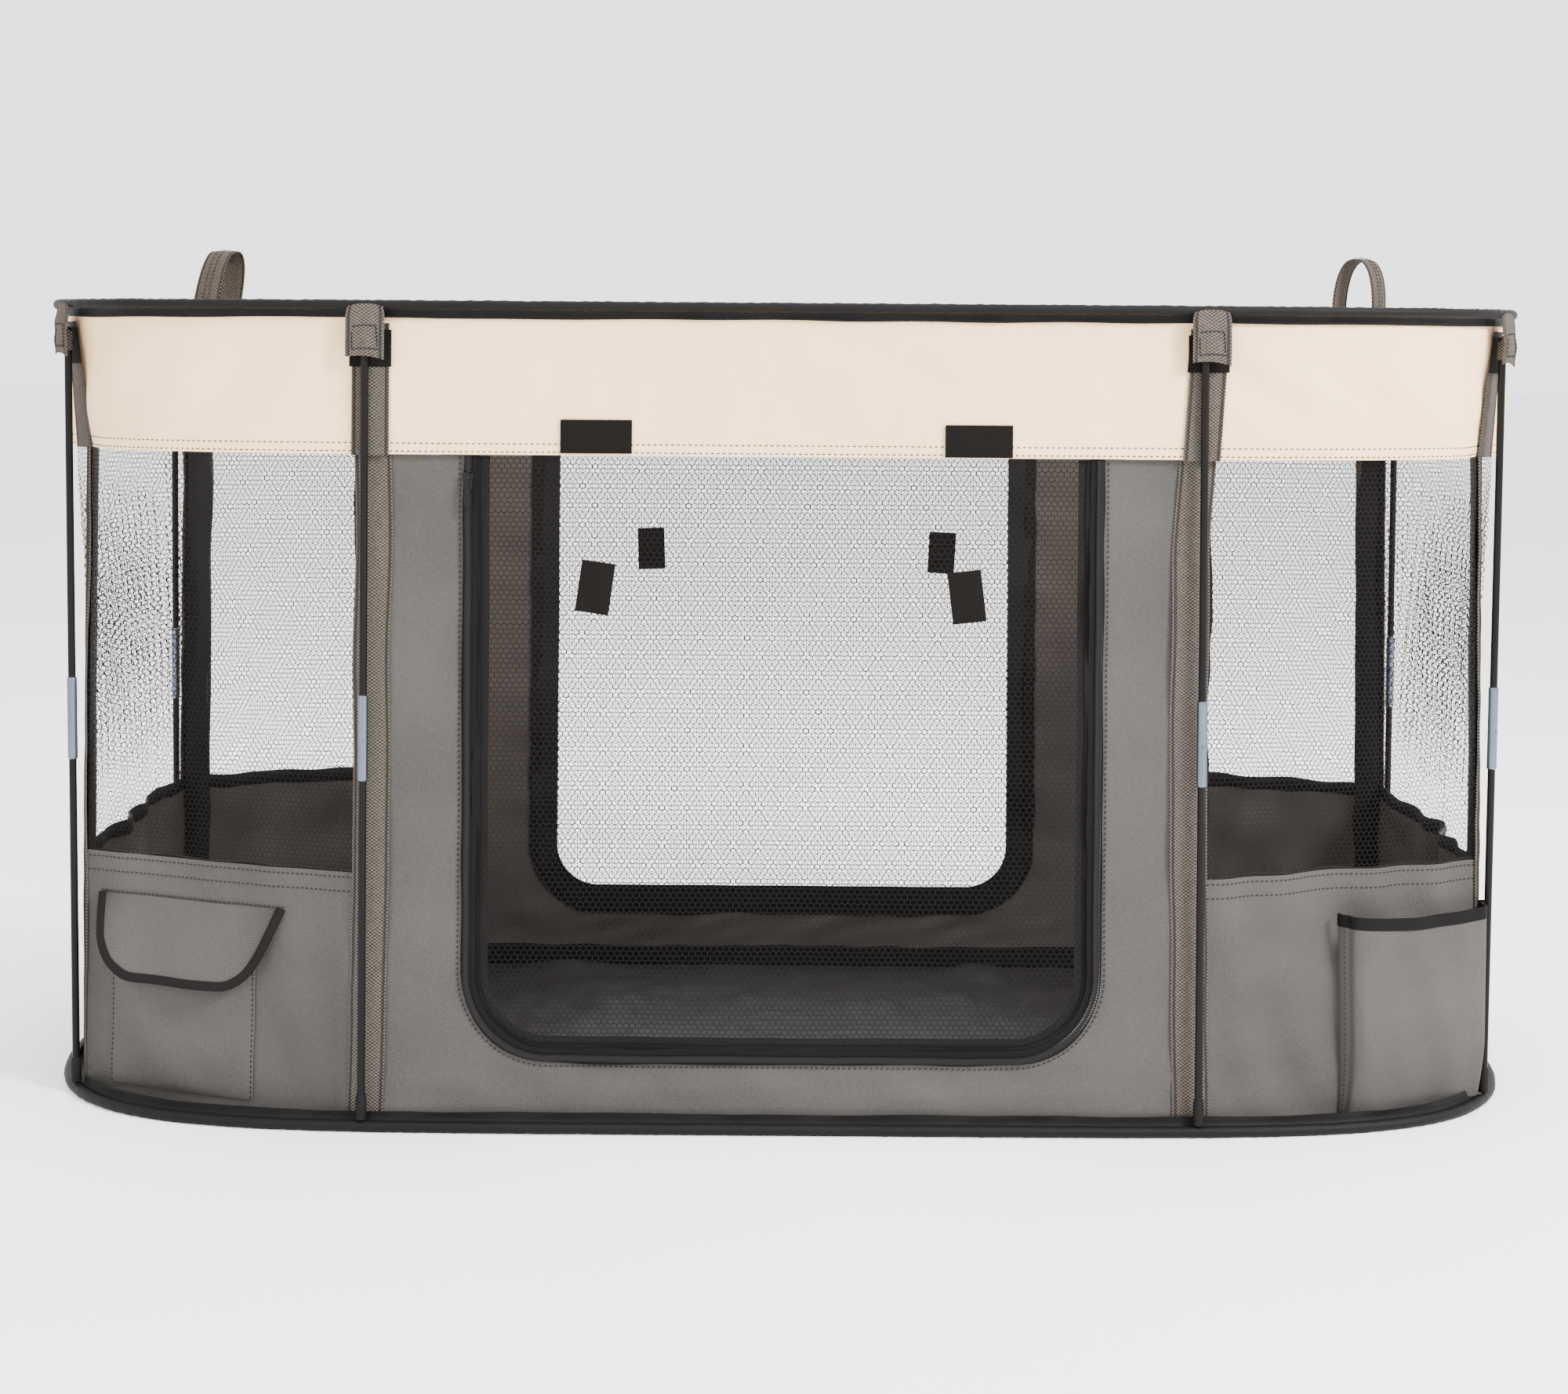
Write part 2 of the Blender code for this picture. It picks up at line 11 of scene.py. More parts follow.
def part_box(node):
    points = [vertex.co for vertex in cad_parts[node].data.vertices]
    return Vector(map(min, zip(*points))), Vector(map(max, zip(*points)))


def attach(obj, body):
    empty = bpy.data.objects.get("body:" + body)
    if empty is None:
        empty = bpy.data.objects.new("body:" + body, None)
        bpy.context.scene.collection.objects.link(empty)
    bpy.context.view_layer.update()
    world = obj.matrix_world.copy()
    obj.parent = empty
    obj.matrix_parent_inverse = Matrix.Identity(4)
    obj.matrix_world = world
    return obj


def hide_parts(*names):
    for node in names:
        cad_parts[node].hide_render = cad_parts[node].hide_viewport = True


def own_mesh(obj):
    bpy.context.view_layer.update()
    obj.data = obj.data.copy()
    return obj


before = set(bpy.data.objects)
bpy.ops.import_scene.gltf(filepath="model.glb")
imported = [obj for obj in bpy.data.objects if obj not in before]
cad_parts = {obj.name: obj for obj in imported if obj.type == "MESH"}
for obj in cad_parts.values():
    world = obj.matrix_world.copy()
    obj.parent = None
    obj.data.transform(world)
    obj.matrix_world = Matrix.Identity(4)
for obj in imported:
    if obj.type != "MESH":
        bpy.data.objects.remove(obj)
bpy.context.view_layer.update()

# Rings and posts, in metres
BASE_RING_Z = 0.0040
TOP_RING_Z = 0.6355
BASE_HALF = (0.596, 0.271)
TOP_HALF = (0.608, 0.275)
OUTLINE_POWERS = (6.0, 3.0)
FRONT_POST_X = 0.322
END_POST_X = (0.567, 0.575)
POST_SIDES = ((-1, -1), (1, -1), (1, -1), (1, 1), (1, 1), (-1, 1), (-1, 1), (-1, -1))
POST_NAMES = (
    "front_left", "front_right", "right_front", "right_rear",
    "rear_right", "rear_left", "left_rear", "left_front",
)
END_POSTS = (2, 3, 6, 7)
FOOT_Z = 0.0088
POST_TOP_Z = 0.6170
WALL_INSET = 0.0110
END_INSETS = ((0.0, 0.196, 0.40, 0.521), (0.0063, 0.0077, 0.0110, 0.0130))
WALL_BOTTOM_Z = 0.004
HEM_Z = 0.196
SEAM_Z = 0.521
BAND_TOP_Z = 0.6320

# Thicknesses of cloth and tape, and the webbing's size
WALL_CLOTH = 0.0007
NYLON_TAPE = 0.0006
STRAP_WIDTH = 0.0290
WEBBING_THICKNESS = 0.0009

# Doors and zips
ZIP_HALF_WIDTH = 0.243
ZIP_BOTTOM_Z = 0.055
ZIP_RADIUS = 0.065
DOOR_TOP_Z = 0.5200


# ---------------------------------------------------------------- finishes


def linear(code):
    """An sRGB hex colour as linear red, green, blue, alpha."""
    parts = [int(code[i:i + 2], 16) / 255 for i in (0, 2, 4)]
    return [p / 12.92 if p <= 0.04045 else ((p + 0.055) / 1.055) ** 2.4 for p in parts] + [1.0]


def add(tree, kind, settings=None, **inputs):
    """Adds a node. inputs are values, or (node, output name) to link from, by input name or number."""
    made = tree.nodes.new("ShaderNode" + kind)
    for name, value in (settings or {}).items():
        setattr(made, name, value)
    for name, value in inputs.items():
        name = name.replace("_", " ")
        numbered = name[0] == "i" and name[1:].isdigit()
        socket = made.inputs[int(name[1:]) if numbered else name]
        if isinstance(value, tuple) and isinstance(value[0], bpy.types.Node):
            tree.links.new(value[0].outputs[value[1]], socket)
        else:
            socket.default_value = value
    return made


def new_finish(name, roughness, metallic=0.0, sheen=0.0, specular=0.5):
    """An empty material with its surface node, ready for colour and bump."""
    material = bpy.data.materials.new(name)
    material.use_nodes = True
    tree = material.node_tree
    surface = tree.nodes["Principled BSDF"]
    surface.inputs["Roughness"].default_value = roughness
    surface.inputs["Metallic"].default_value = metallic
    surface.inputs["Sheen Weight"].default_value = sheen
    surface.inputs["Specular IOR Level"].default_value = specular
    return material, tree, surface


def threads(tree, spacing, across=1.0, slant=0.0):
    """Over and under threads at this spacing in metres, from 0 to 1, on the piece's own cloth map."""
    place = add(tree, "TexCoord")
    period = 2 * math.pi / 20
    turned = add(
        tree, "Mapping", Vector=(place, "UV"), Scale=(period / spacing, period / spacing / across, 1),
        Rotation=(0, 0, slant),
    )
    warp = add(tree, "TexWave", {"bands_direction": "X"}, Vector=(turned, 0), Scale=1.0)
    weft = add(tree, "TexWave", {"bands_direction": "Y"}, Vector=(turned, 0), Scale=1.0)
    lifted = add(tree, "Math", {"operation": "SUBTRACT"}, i0=(warp, "Fac"), i1=0.5)
    crossed = add(tree, "Math", {"operation": "SUBTRACT"}, i0=(weft, "Fac"), i1=0.5)
    both = add(tree, "Math", {"operation": "MULTIPLY"}, i0=(lifted, 0), i1=(crossed, 0))
    return add(tree, "Math", {"operation": "MULTIPLY_ADD"}, i0=(both, 0), i1=2.0, i2=0.5)


def two_tones(tree, share, dark, light):
    return add(
        tree, "Mix", {"data_type": "RGBA"}, i0=share, i6=linear(dark), i7=linear(light)
    )


def woven(name, dark, light, spacing, roughness, depth, sheen=0.15, specular=0.35):
    """Plain woven cloth: thread relief, threads a shade apart, and slow cloudy variation over the panel."""
    material, tree, surface = new_finish(name, roughness, sheen=sheen, specular=specular)
    thread = threads(tree, spacing)
    place = add(tree, "TexCoord")
    cloud = add(tree, "TexNoise", Vector=(place, "Object"), Scale=9.0, Detail=3.0)
    slub = add(tree, "TexNoise", Vector=(place, "Object"), Scale=700.0, Detail=1.0)
    mixed = add(tree, "Math", {"operation": "MULTIPLY_ADD"}, i0=(cloud, 0), i1=0.5, i2=(thread, 0))
    mixed = add(tree, "Math", {"operation": "MULTIPLY_ADD"}, i0=(slub, 0), i1=0.35, i2=(mixed, 0))
    share = add(tree, "MapRange", Value=(mixed, 0), From_Min=0.45, From_Max=1.35)
    colour = two_tones(tree, (share, 0), dark, light)
    tree.links.new(colour.outputs[2], surface.inputs["Base Color"])
    relief = add(tree, "Bump", Height=(thread, 0), Strength=1.0, Distance=depth)
    tree.links.new(relief.outputs[0], surface.inputs["Normal"])
    return material


def soft_nylon(name, dark, light, roughness):
    """Thin coated nylon: nearly black, with a low sheen and a fine pucker where it is gathered."""
    material, tree, surface = new_finish(name, roughness, specular=0.10)
    place = add(tree, "TexCoord")
    pucker = add(tree, "TexNoise", Vector=(place, "Object"), Scale=160.0, Detail=3.0)
    cloud = add(tree, "TexNoise", Vector=(place, "Object"), Scale=14.0, Detail=2.0)
    colour = two_tones(tree, (cloud, 0), dark, light)
    tree.links.new(colour.outputs[2], surface.inputs["Base Color"])
    thread = threads(tree, 0.0010)
    height = add(tree, "Math", {"operation": "MULTIPLY_ADD"}, i0=(thread, 0), i1=0.3, i2=(pucker, 0))
    relief = add(tree, "Bump", Height=(height, 0), Strength=0.5, Distance=0.0006)
    tree.links.new(relief.outputs[0], surface.inputs["Normal"])
    return material


def ribbed_webbing(name, dark, light, stitch):
    """Polyester webbing with two sewn lines. Its ribs are 1.6 mm apart, drawn at 2.6 mm so that they show."""
    material, tree, surface = new_finish(name, 0.85, specular=0.1)
    rib = threads(tree, 0.0026, across=1.35)
    place = add(tree, "TexCoord")
    grain = add(tree, "TexNoise", Vector=(place, "Object"), Scale=420.0, Detail=2.0)
    mixed = add(tree, "Math", {"operation": "MULTIPLY_ADD"}, i0=(grain, 0), i1=0.6, i2=(rib, 0))
    share = add(tree, "MapRange", Value=(mixed, 0), From_Min=0.45, From_Max=1.15)
    colour = two_tones(tree, (share, 0), dark, light)
    sides = add(tree, "SeparateXYZ", Vector=(place, "UV"))
    far = add(tree, "Math", {"operation": "SUBTRACT"}, i0=(sides, 1), i1=0.0145)
    near = add(tree, "Math", {"operation": "ABSOLUTE"}, i0=(far, 0))
    off_line = add(tree, "Math", {"operation": "SUBTRACT"}, i0=(near, 0), i1=0.0122)
    line = add(tree, "Math", {"operation": "ABSOLUTE"}, i0=(off_line, 0))
    sewn = add(
        tree, "MapRange", Value=(line, 0), From_Min=0.0007, From_Max=0.0014, To_Min=0.75, To_Max=0.0
    )
    inked = add(
        tree, "Mix", {"data_type": "RGBA"}, i0=(sewn, 0), i6=(colour, 2), i7=linear(stitch)
    )
    tree.links.new(inked.outputs[2], surface.inputs["Base Color"])
    height = add(tree, "Math", {"operation": "MULTIPLY_ADD"}, i0=(sewn, 0), i1=-1.2, i2=(rib, 0))
    relief = add(tree, "Bump", Height=(height, 0), Strength=0.9, Distance=0.0006)
    tree.links.new(relief.outputs[0], surface.inputs["Normal"])
    return material


def grained(
    name, dark, light, roughness, scale, relief_depth, metallic=0.0, specular=0.5, stretch=(1, 1, 1)
):
    """A smooth hard or furry surface with fine grain in its colour, gloss and relief."""
    material, tree, surface = new_finish(name, roughness, metallic=metallic, specular=specular)
    place = add(tree, "TexCoord")
    drawn = add(tree, "Mapping", Vector=(place, "Object"), Scale=stretch)
    grain = add(tree, "TexNoise", Vector=(drawn, 0), Scale=scale, Detail=3.0)
    colour = two_tones(tree, (grain, 0), dark, light)
    tree.links.new(colour.outputs[2], surface.inputs["Base Color"])
    least, most = max(roughness - 0.08, 0.05), min(roughness + 0.08, 1.0)
    gloss = add(tree, "MapRange", Value=(grain, 0), To_Min=least, To_Max=most)
    tree.links.new(gloss.outputs[0], surface.inputs["Roughness"])
    relief = add(tree, "Bump", Height=(grain, 0), Strength=0.5, Distance=relief_depth)
    tree.links.new(relief.outputs[0], surface.inputs["Normal"])
    return material


# 600 denier polyester, plain weave. Threads are 0.6 mm apart, drawn at 1.7 mm so that they show.
GREY = woven("grey_polyester", "2B2928", "55524F", 0.0017, 0.75, 0.0006, sheen=0.0, specular=0.15)
CREAM = woven("cream_polyester", "EDC293", "FFDDB0", 0.0017, 0.75, 0.0004, sheen=0.0, specular=0.15)
# The coated back of the same cloth is browner, darker and a little slicker.
LINING = woven("coated_polyester_back", "2D2927", "38332F", 0.0011, 0.6, 0.00015, sheen=0.0, specular=0.12)
# Coated nylon, for the ring sleeves, bindings and floor.
NYLON = soft_nylon("black_nylon", "0A0909", "110F0F", 0.55)
FLOOR_CLOTH = soft_nylon("charcoal_nylon_floor", "181617", "201E22", 0.5)
# Knitted polyester net: matt black yarn.
NET = grained("black_net_yarn", "0C0B0B", "151313", 0.75, 900.0, 0.0001, specular=0.08)
WEBBING = ribbed_webbing("grey_webbing", "27221F", "59524B", "1A1715")
TAPE = woven("black_zip_tape", "0B0A0A", "141212", 0.0014, 0.8, 0.0003, sheen=0.0, specular=0.07)
COIL = grained("nylon_zip_coil", "0A0909", "121010", 0.35, 600.0, 0.00005, specular=0.14)
ENAMEL = grained("black_enamelled_zinc", "080707", "0E0D0D", 0.3, 350.0, 0.00005, specular=0.14)
HOOK = grained("black_hook_tape", "080706", "191615", 0.95, 1300.0, 0.0009, specular=0.05)
# Pultruded glass-fibre rod, black, with faint lines along it.
GLASS_ROD = grained(
    "black_glass_fibre", "090808", "110F0E", 0.32, 300.0, 0.00005, specular=0.1, stretch=(1, 1, 0.03)
)
# Zinc-plated steel tube: bluish, with faint draw lines.
ZINC = grained(
    "zinc_plated_steel", "555B69", "6B7180", 0.34, 260.0, 0.00003, metallic=1.0, stretch=(1, 1, 0.08)
)
RUBBER = grained("black_rubber", "0A0909", "110F0F", 0.7, 500.0, 0.0001, specular=0.12)
SPRING = grained("spring_steel", "6E6F72", "85878B", 0.35, 200.0, 0.00003, metallic=1.0)
BROWN_THREAD = grained("brown_thread", "3A2B1D", "4A3928", 0.8, 900.0, 0.0001, specular=0.2)
DARK_THREAD = grained("near_black_thread", "070606", "0C0A0A", 0.8, 900.0, 0.0001, specular=0.2)
GREY_THREAD = grained("dark_grey_thread", "131211", "1B1918", 0.8, 900.0, 0.0001, specular=0.2)


# ---------------------------------------------------------------- where the sewn surfaces lie


def height_share(z):
    return (z - BASE_RING_Z) / (TOP_RING_Z - BASE_RING_Z)


def ring_half(z):
    share = height_share(z)
    return tuple(low + (high - low) * share for low, high in zip(BASE_HALF, TOP_HALF))


def unit(v):
    return v / np.maximum(np.linalg.norm(v, axis=-1, keepdims=True), 1e-12)


def post_xy(k, z):
    """Post k's axis at heights z."""
    half_length, half_depth = ring_half(z)
    side_x, side_y = POST_SIDES[k]
    low, high = END_POST_X if k in END_POSTS else (FRONT_POST_X, FRONT_POST_X)
    x = low + (high - low) * height_share(z)
    y = half_depth * (1 - (x / half_length) ** OUTLINE_POWERS[0]) ** (1 / OUTLINE_POWERS[1])
    return np.stack([side_x * x, side_y * y], axis=-1)


def corner_xy(k, z):
    """Corner k of the sewn wall at heights z, and the directions into it and out of it."""
    before, here, after = (post_xy((k + step) % 8, z) for step in (-1, 0, 1))
    first, second = unit(here - before), unit(after - here)
    inset = np.interp(z, *END_INSETS) if k in END_POSTS else np.full(np.shape(z), WALL_INSET)
    inset = inset[..., None]
    first_in = np.stack([-first[..., 1], first[..., 0]], axis=-1) * inset
    second_in = np.stack([-second[..., 1], second[..., 0]], axis=-1) * inset
    turn = first[..., 0] * second[..., 1] - first[..., 1] * second[..., 0]
    gap = second_in - first_in
    reach = (gap[..., 0] * second[..., 1] - gap[..., 1] * second[..., 0]) / turn
    return here + first_in + first * reach[..., None], first, second


def room_to_ring(flat, outward, z):
    """How far the ring's line, drawn in by the wall's inset, is outside these points."""
    half_length, half_depth = ring_half(z)
    low, high = np.zeros(len(flat)), np.full(len(flat), 0.08)
    for _ in range(22):
        middle = (low + high) / 2
        x, y = (flat + outward * middle[:, None]).T
        inside = (
            np.abs(x / (half_length - WALL_INSET)) ** OUTLINE_POWERS[0]
            + np.abs(y / (half_depth - WALL_INSET)) ** OUTLINE_POWERS[1]
        ) < 1
        low, high = np.where(inside, middle, low), np.where(inside, high, middle)
    return low


# Heights, and how much of the way to the ring's line the cloth swells there
SWELL = ((0.0, 0.19, 0.50, 0.53), (0.34, 0.12, 0.93, 1.0))


def panel(k, share, z, out=0.0):
    """Points of wall panel k at shares across, heights z and this far out.

    The cloth swells towards the rings.
    """
    share, z = np.broadcast_arrays(np.asarray(share, float), np.asarray(z, float))
    start = corner_xy(k % 8, z)[0]
    end = corner_xy((k + 1) % 8, z)[0]
    flat = start + (end - start) * share[:, None]
    along = unit(end - start)
    outward = np.stack([along[:, 1], -along[:, 0]], axis=-1)
    follows = np.interp(z, *SWELL)
    window = np.clip(np.sin(math.pi * share) * 3.0, 0, 1)
    swell = room_to_ring(flat, outward, z) * follows * window
    xy = flat + outward * (swell + out)[:, None]
    return np.column_stack([xy, z])


def panel_width(k, z=0.26):
    height = np.array([z])
    return float(np.linalg.norm(corner_xy((k + 1) % 8, height)[0] - corner_xy(k % 8, height)[0]))


def wall(run, z, out=0.0):
    """As panel, but run counts panels on from panel 0, so that a sheet may turn corners."""
    run, z, out = (np.array(a, float) for a in np.broadcast_arrays(run, z, out))
    points = np.zeros((len(run), 3))
    numbers = np.floor(run).astype(int)
    for k in np.unique(numbers):
        here = numbers == k
        points[here] = panel(int(k), run[here] - k, z[here], out[here])
    return points


def ring_line(turns, z, out=0.0):
    """Points round the ring's line at shares of a turn, with the outward directions and the whole length."""
    half_length, half_depth = ring_half(z)
    fine = np.linspace(0, 2 * math.pi, 4001)
    across, along = np.cos(fine), np.sin(fine)
    x = half_length * np.sign(across) * np.abs(across) ** (2 / OUTLINE_POWERS[0])
    y = half_depth * np.sign(along) * np.abs(along) ** (2 / OUTLINE_POWERS[1])
    run = np.concatenate([[0], np.cumsum(np.hypot(np.diff(x), np.diff(y)))])
    at = np.asarray(turns) % 1.0 * run[-1]
    x, y = np.interp(at, run, x), np.interp(at, run, y)
    slope = np.column_stack([
        np.sign(x) * np.abs(x / half_length) ** (OUTLINE_POWERS[0] - 1) * OUTLINE_POWERS[0] / half_length,
        np.sign(y) * np.abs(y / half_depth) ** (OUTLINE_POWERS[1] - 1) * OUTLINE_POWERS[1] / half_depth,
    ])
    outward = unit(slope)
    xy = np.column_stack([x, y]) + outward * np.reshape(out, (-1, 1))
    return xy, outward, run[-1]


def rumple(along, up, seed, length):
    """Smooth unevenness between about -1 and 1, with bumps of about this length."""
    draws = np.random.default_rng(seed)
    total = np.zeros(np.broadcast(along, up).shape)
    for _ in range(8):
        turn, phase = draws.uniform(0, 2 * math.pi, 2)
        wave = length * draws.uniform(0.6, 1.8)
        total = total + np.sin(2 * math.pi / wave * (along * math.cos(turn) + up * math.sin(turn)) + phase)
    return total / 3.5


# ---------------------------------------------------------------- making pieces


def distances(path):
    """How far along a path each of its points is."""
    return np.concatenate([[0], np.cumsum(np.linalg.norm(np.diff(path, axis=0), axis=1))])


def at_distances(run, at, *rows):
    """Each list of points, read at these distances along a path whose points are at run."""
    return [np.column_stack([np.interp(at, run, one[:, i]) for i in range(3)]) for one in rows]


def new_primitive(name, add_shape, **settings):
    bpy.ops.object.select_all(action="DESELECT")
    add_shape(**settings)
    piece = bpy.context.object
    piece.name = piece.data.name = name
    return piece


def new_grid(name, columns, rows, size=1):
    return new_primitive(
        name, bpy.ops.mesh.primitive_grid_add, x_subdivisions=columns, y_subdivisions=rows, size=size
    )


def new_mesh(name, points, faces):
    mesh = bpy.data.meshes.new(name)
    mesh.from_pydata(points, [], faces)
    piece = bpy.data.objects.new(name, mesh)
    bpy.context.scene.collection.objects.link(piece)
    return piece


def only(piece):
    bpy.ops.object.select_all(action="DESELECT")
    piece.select_set(True)
    bpy.context.view_layer.objects.active = piece


def apply_modifier(piece, kind, **settings):
    only(piece)
    modifier = piece.modifiers.new(kind.title(), kind)
    for name, value in settings.items():
        setattr(modifier, name, value)
    bpy.ops.object.modifier_apply(modifier=modifier.name)


def weld(piece, distance=0.00002):
    only(piece)
    bpy.ops.object.mode_set(mode="EDIT")
    bpy.ops.mesh.select_all(action="SELECT")
    bpy.ops.mesh.remove_doubles(threshold=distance)
    bpy.ops.object.mode_set(mode="OBJECT")


def smooth(piece, angle=45):
    only(piece)
    bpy.ops.object.shade_smooth_by_angle(angle=math.radians(angle))


def paint(piece, *finishes):
    piece.data.materials.clear()
    for finish in finishes:
        piece.data.materials.append(finish)


def cloth(name, columns, rows, place, flat, outside, thickness=0.0, inside=None, closed=False):
    """A sheet drawn as a grid: place(across, up) gives its points, and flat is its cut width and height."""
    piece = new_grid(name, columns, rows, 2)
    mesh = piece.data
    raw = np.empty(len(mesh.vertices) * 3, np.float32)
    mesh.vertices.foreach_get("co", raw)
    shares = (raw.reshape(-1, 3)[:, :2].astype(float) + 1) / 2
    points = place(shares[:, 0], shares[:, 1])
    mesh.vertices.foreach_set("co", points.astype(np.float32).ravel())
    marks = np.empty(len(mesh.loops) * 2, np.float32)
    mesh.uv_layers.active.data.foreach_get("uv", marks)
    marks = marks.reshape(-1, 2) * np.array(flat, np.float32)
    mesh.uv_layers.active.data.foreach_set("uv", marks.astype(np.float32).ravel())
    paint(piece, outside, inside or outside)
    if closed:
        weld(piece)
    if thickness:
        apply_modifier(
            piece, "SOLIDIFY", thickness=thickness, offset=-1.0, material_offset=1, material_offset_rim=0
        )
    smooth(piece, 60)
    return piece


def ribbon(
    name, path, face, width, outside, thickness=WEBBING_THICKNESS, across=4, edge=None, closed=False,
    crown=0.0,
):
    """A strip of tape along this path with its outer side towards face.

    edge(run, side) adds to its half width on one side, and crown raises its middle.
    """
    path, face = np.asarray(path, float), unit(np.asarray(face, float))
    if closed:
        tangent = unit(np.roll(path, -1, 0) - np.roll(path, 1, 0))
        path, face, tangent = (np.vstack([a, a[:1]]) for a in (path, face, tangent))
    else:
        tangent = unit(np.gradient(path, axis=0))
    side = unit(np.cross(face, tangent))
    run = distances(path)
    last = len(path) - 1

    def place(along, over):
        k = np.clip(np.round(along * last).astype(int), 0, last)
        reach = over - 0.5
        half = np.full(len(k), float(width))
        if edge is not None:
            half = half + np.where(reach > 0, edge(run[k], 1), edge(run[k], -1)) * 2
        lift = crown * (1 - (2 * reach) ** 2)
        return path[k] + side[k] * (reach * half)[:, None] + face[k] * lift[:, None]

    return cloth(name, last, across, place, (run[-1], width), outside, thickness, closed=closed)


def swept(name, path, face, section, finish, scale=None, closed=False):
    """A closed section of (sideways, outwards) points carried along a path, its ends capped."""
    path, face = np.asarray(path, float), unit(np.asarray(face, float))
    if closed:
        tangent = unit(np.roll(path, -1, 0) - np.roll(path, 1, 0))
    else:
        tangent = unit(np.gradient(path, axis=0))
    side = unit(np.cross(face, tangent))
    section = np.asarray(section, float)
    count, rings = len(section), len(path)
    grown = np.ones((rings, count, 2)) if scale is None else scale
    shape = section[None] * grown
    points = path[:, None] + side[:, None] * shape[..., :1] + face[:, None] * shape[..., 1:]
    rows = np.arange(rings if closed else rings - 1)[:, None]
    column = np.arange(count)[None]
    after = (column + 1) % count
    onward = (rows + 1) % rings
    faces = np.stack([
        rows * count + column, rows * count + after, onward * count + after, onward * count + column,
    ], axis=-1).reshape(-1, 4).tolist()
    if not closed:
        faces += [list(range(count)), list(range((rings - 1) * count, rings * count))]
    piece = new_mesh(name, points.reshape(-1, 3).tolist(), faces)
    face_outwards(piece)
    paint(piece, finish)
    smooth(piece)
    return piece


def face_outwards(piece):
    only(piece)
    bpy.ops.object.mode_set(mode="EDIT")
    bpy.ops.mesh.select_all(action="SELECT")
    bpy.ops.mesh.normals_make_consistent(inside=False)
    bpy.ops.object.mode_set(mode="OBJECT")


def repeated(name, template, spots, rights, faces, finish):
    """Copies of a small template as one piece: its X along rights and its Z along faces at each spot."""
    local = np.array([v.co for v in template.data.vertices], float)
    shape = [list(p.vertices) for p in template.data.polygons]
    x, z = unit(np.asarray(rights, float)), unit(np.asarray(faces, float))
    y = unit(np.cross(z, x))
    x = np.cross(y, z)
    spots = np.asarray(spots, float)
    points = (
        spots[:, None]
        + local[None, :, :1] * x[:, None]
        + local[None, :, 1:2] * y[:, None]
        + local[None, :, 2:] * z[:, None]
    )
    count = len(local)
    polygons = [[i * count + v for v in one] for i in range(len(spots)) for one in shape]
    piece = new_mesh(name, points.reshape(-1, 3).tolist(), polygons)
    paint(piece, finish)
    smooth(piece)
    return piece


STITCH_SIZE = (0.0034, 0.0011, 0.0008)
STITCH_PITCH = 0.0040
BAND_STITCH_PITCH = 0.0045


def stitch_template():
    """One stitch of thick thread, with both ends sunk into the cloth."""
    one = new_primitive("stitch_template", bpy.ops.mesh.primitive_cube_add, size=1)
    one.data.transform(Matrix.Diagonal((*STITCH_SIZE, 1)))
    apply_modifier(one, "SUBSURF", levels=1, render_levels=1)
    for v in one.data.vertices:
        v.co.z += 0.0003 - 0.0004 * abs(v.co.x / 0.0015) ** 2
    return one


STITCH = stitch_template()


def stitches(name, path, face, finish, pitch=STITCH_PITCH):
    """A row of stitches along a path on cloth whose outer side is towards face."""
    path, face = np.asarray(path, float), np.asarray(face, float)
    run = distances(path)
    at = np.arange(pitch / 2, run[-1] - pitch / 2, pitch)
    spots, outward = at_distances(run, at, path, face)
    (ahead,) = at_distances(run, at + 0.001, path)
    return repeated(name, STITCH, spots, ahead - spots, outward, finish)


def settle(piece, body, slot, *nodes, fold=None):
    """Parents a piece to its body's empty and hides the CAD nodes it stands for; with fold set, the piece
    first gets its own copy of its mesh. The slot is not used.
    """
    if fold == "wall":
        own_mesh(piece)
    elif fold == "net":
        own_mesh(piece)
    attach(piece, body)
    if nodes:
        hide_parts(*nodes)
    return piece


# ---------------------------------------------------------------- rings, band and floor


SLEEVE_COLUMNS = 720
SLEEVE_RADIUS = 0.0038
SLEEVE_ARC_POINTS = 19
SLEEVE_THICKNESS = 0.0005
RING_LENGTHS = ("front", "right", "rear", "left")


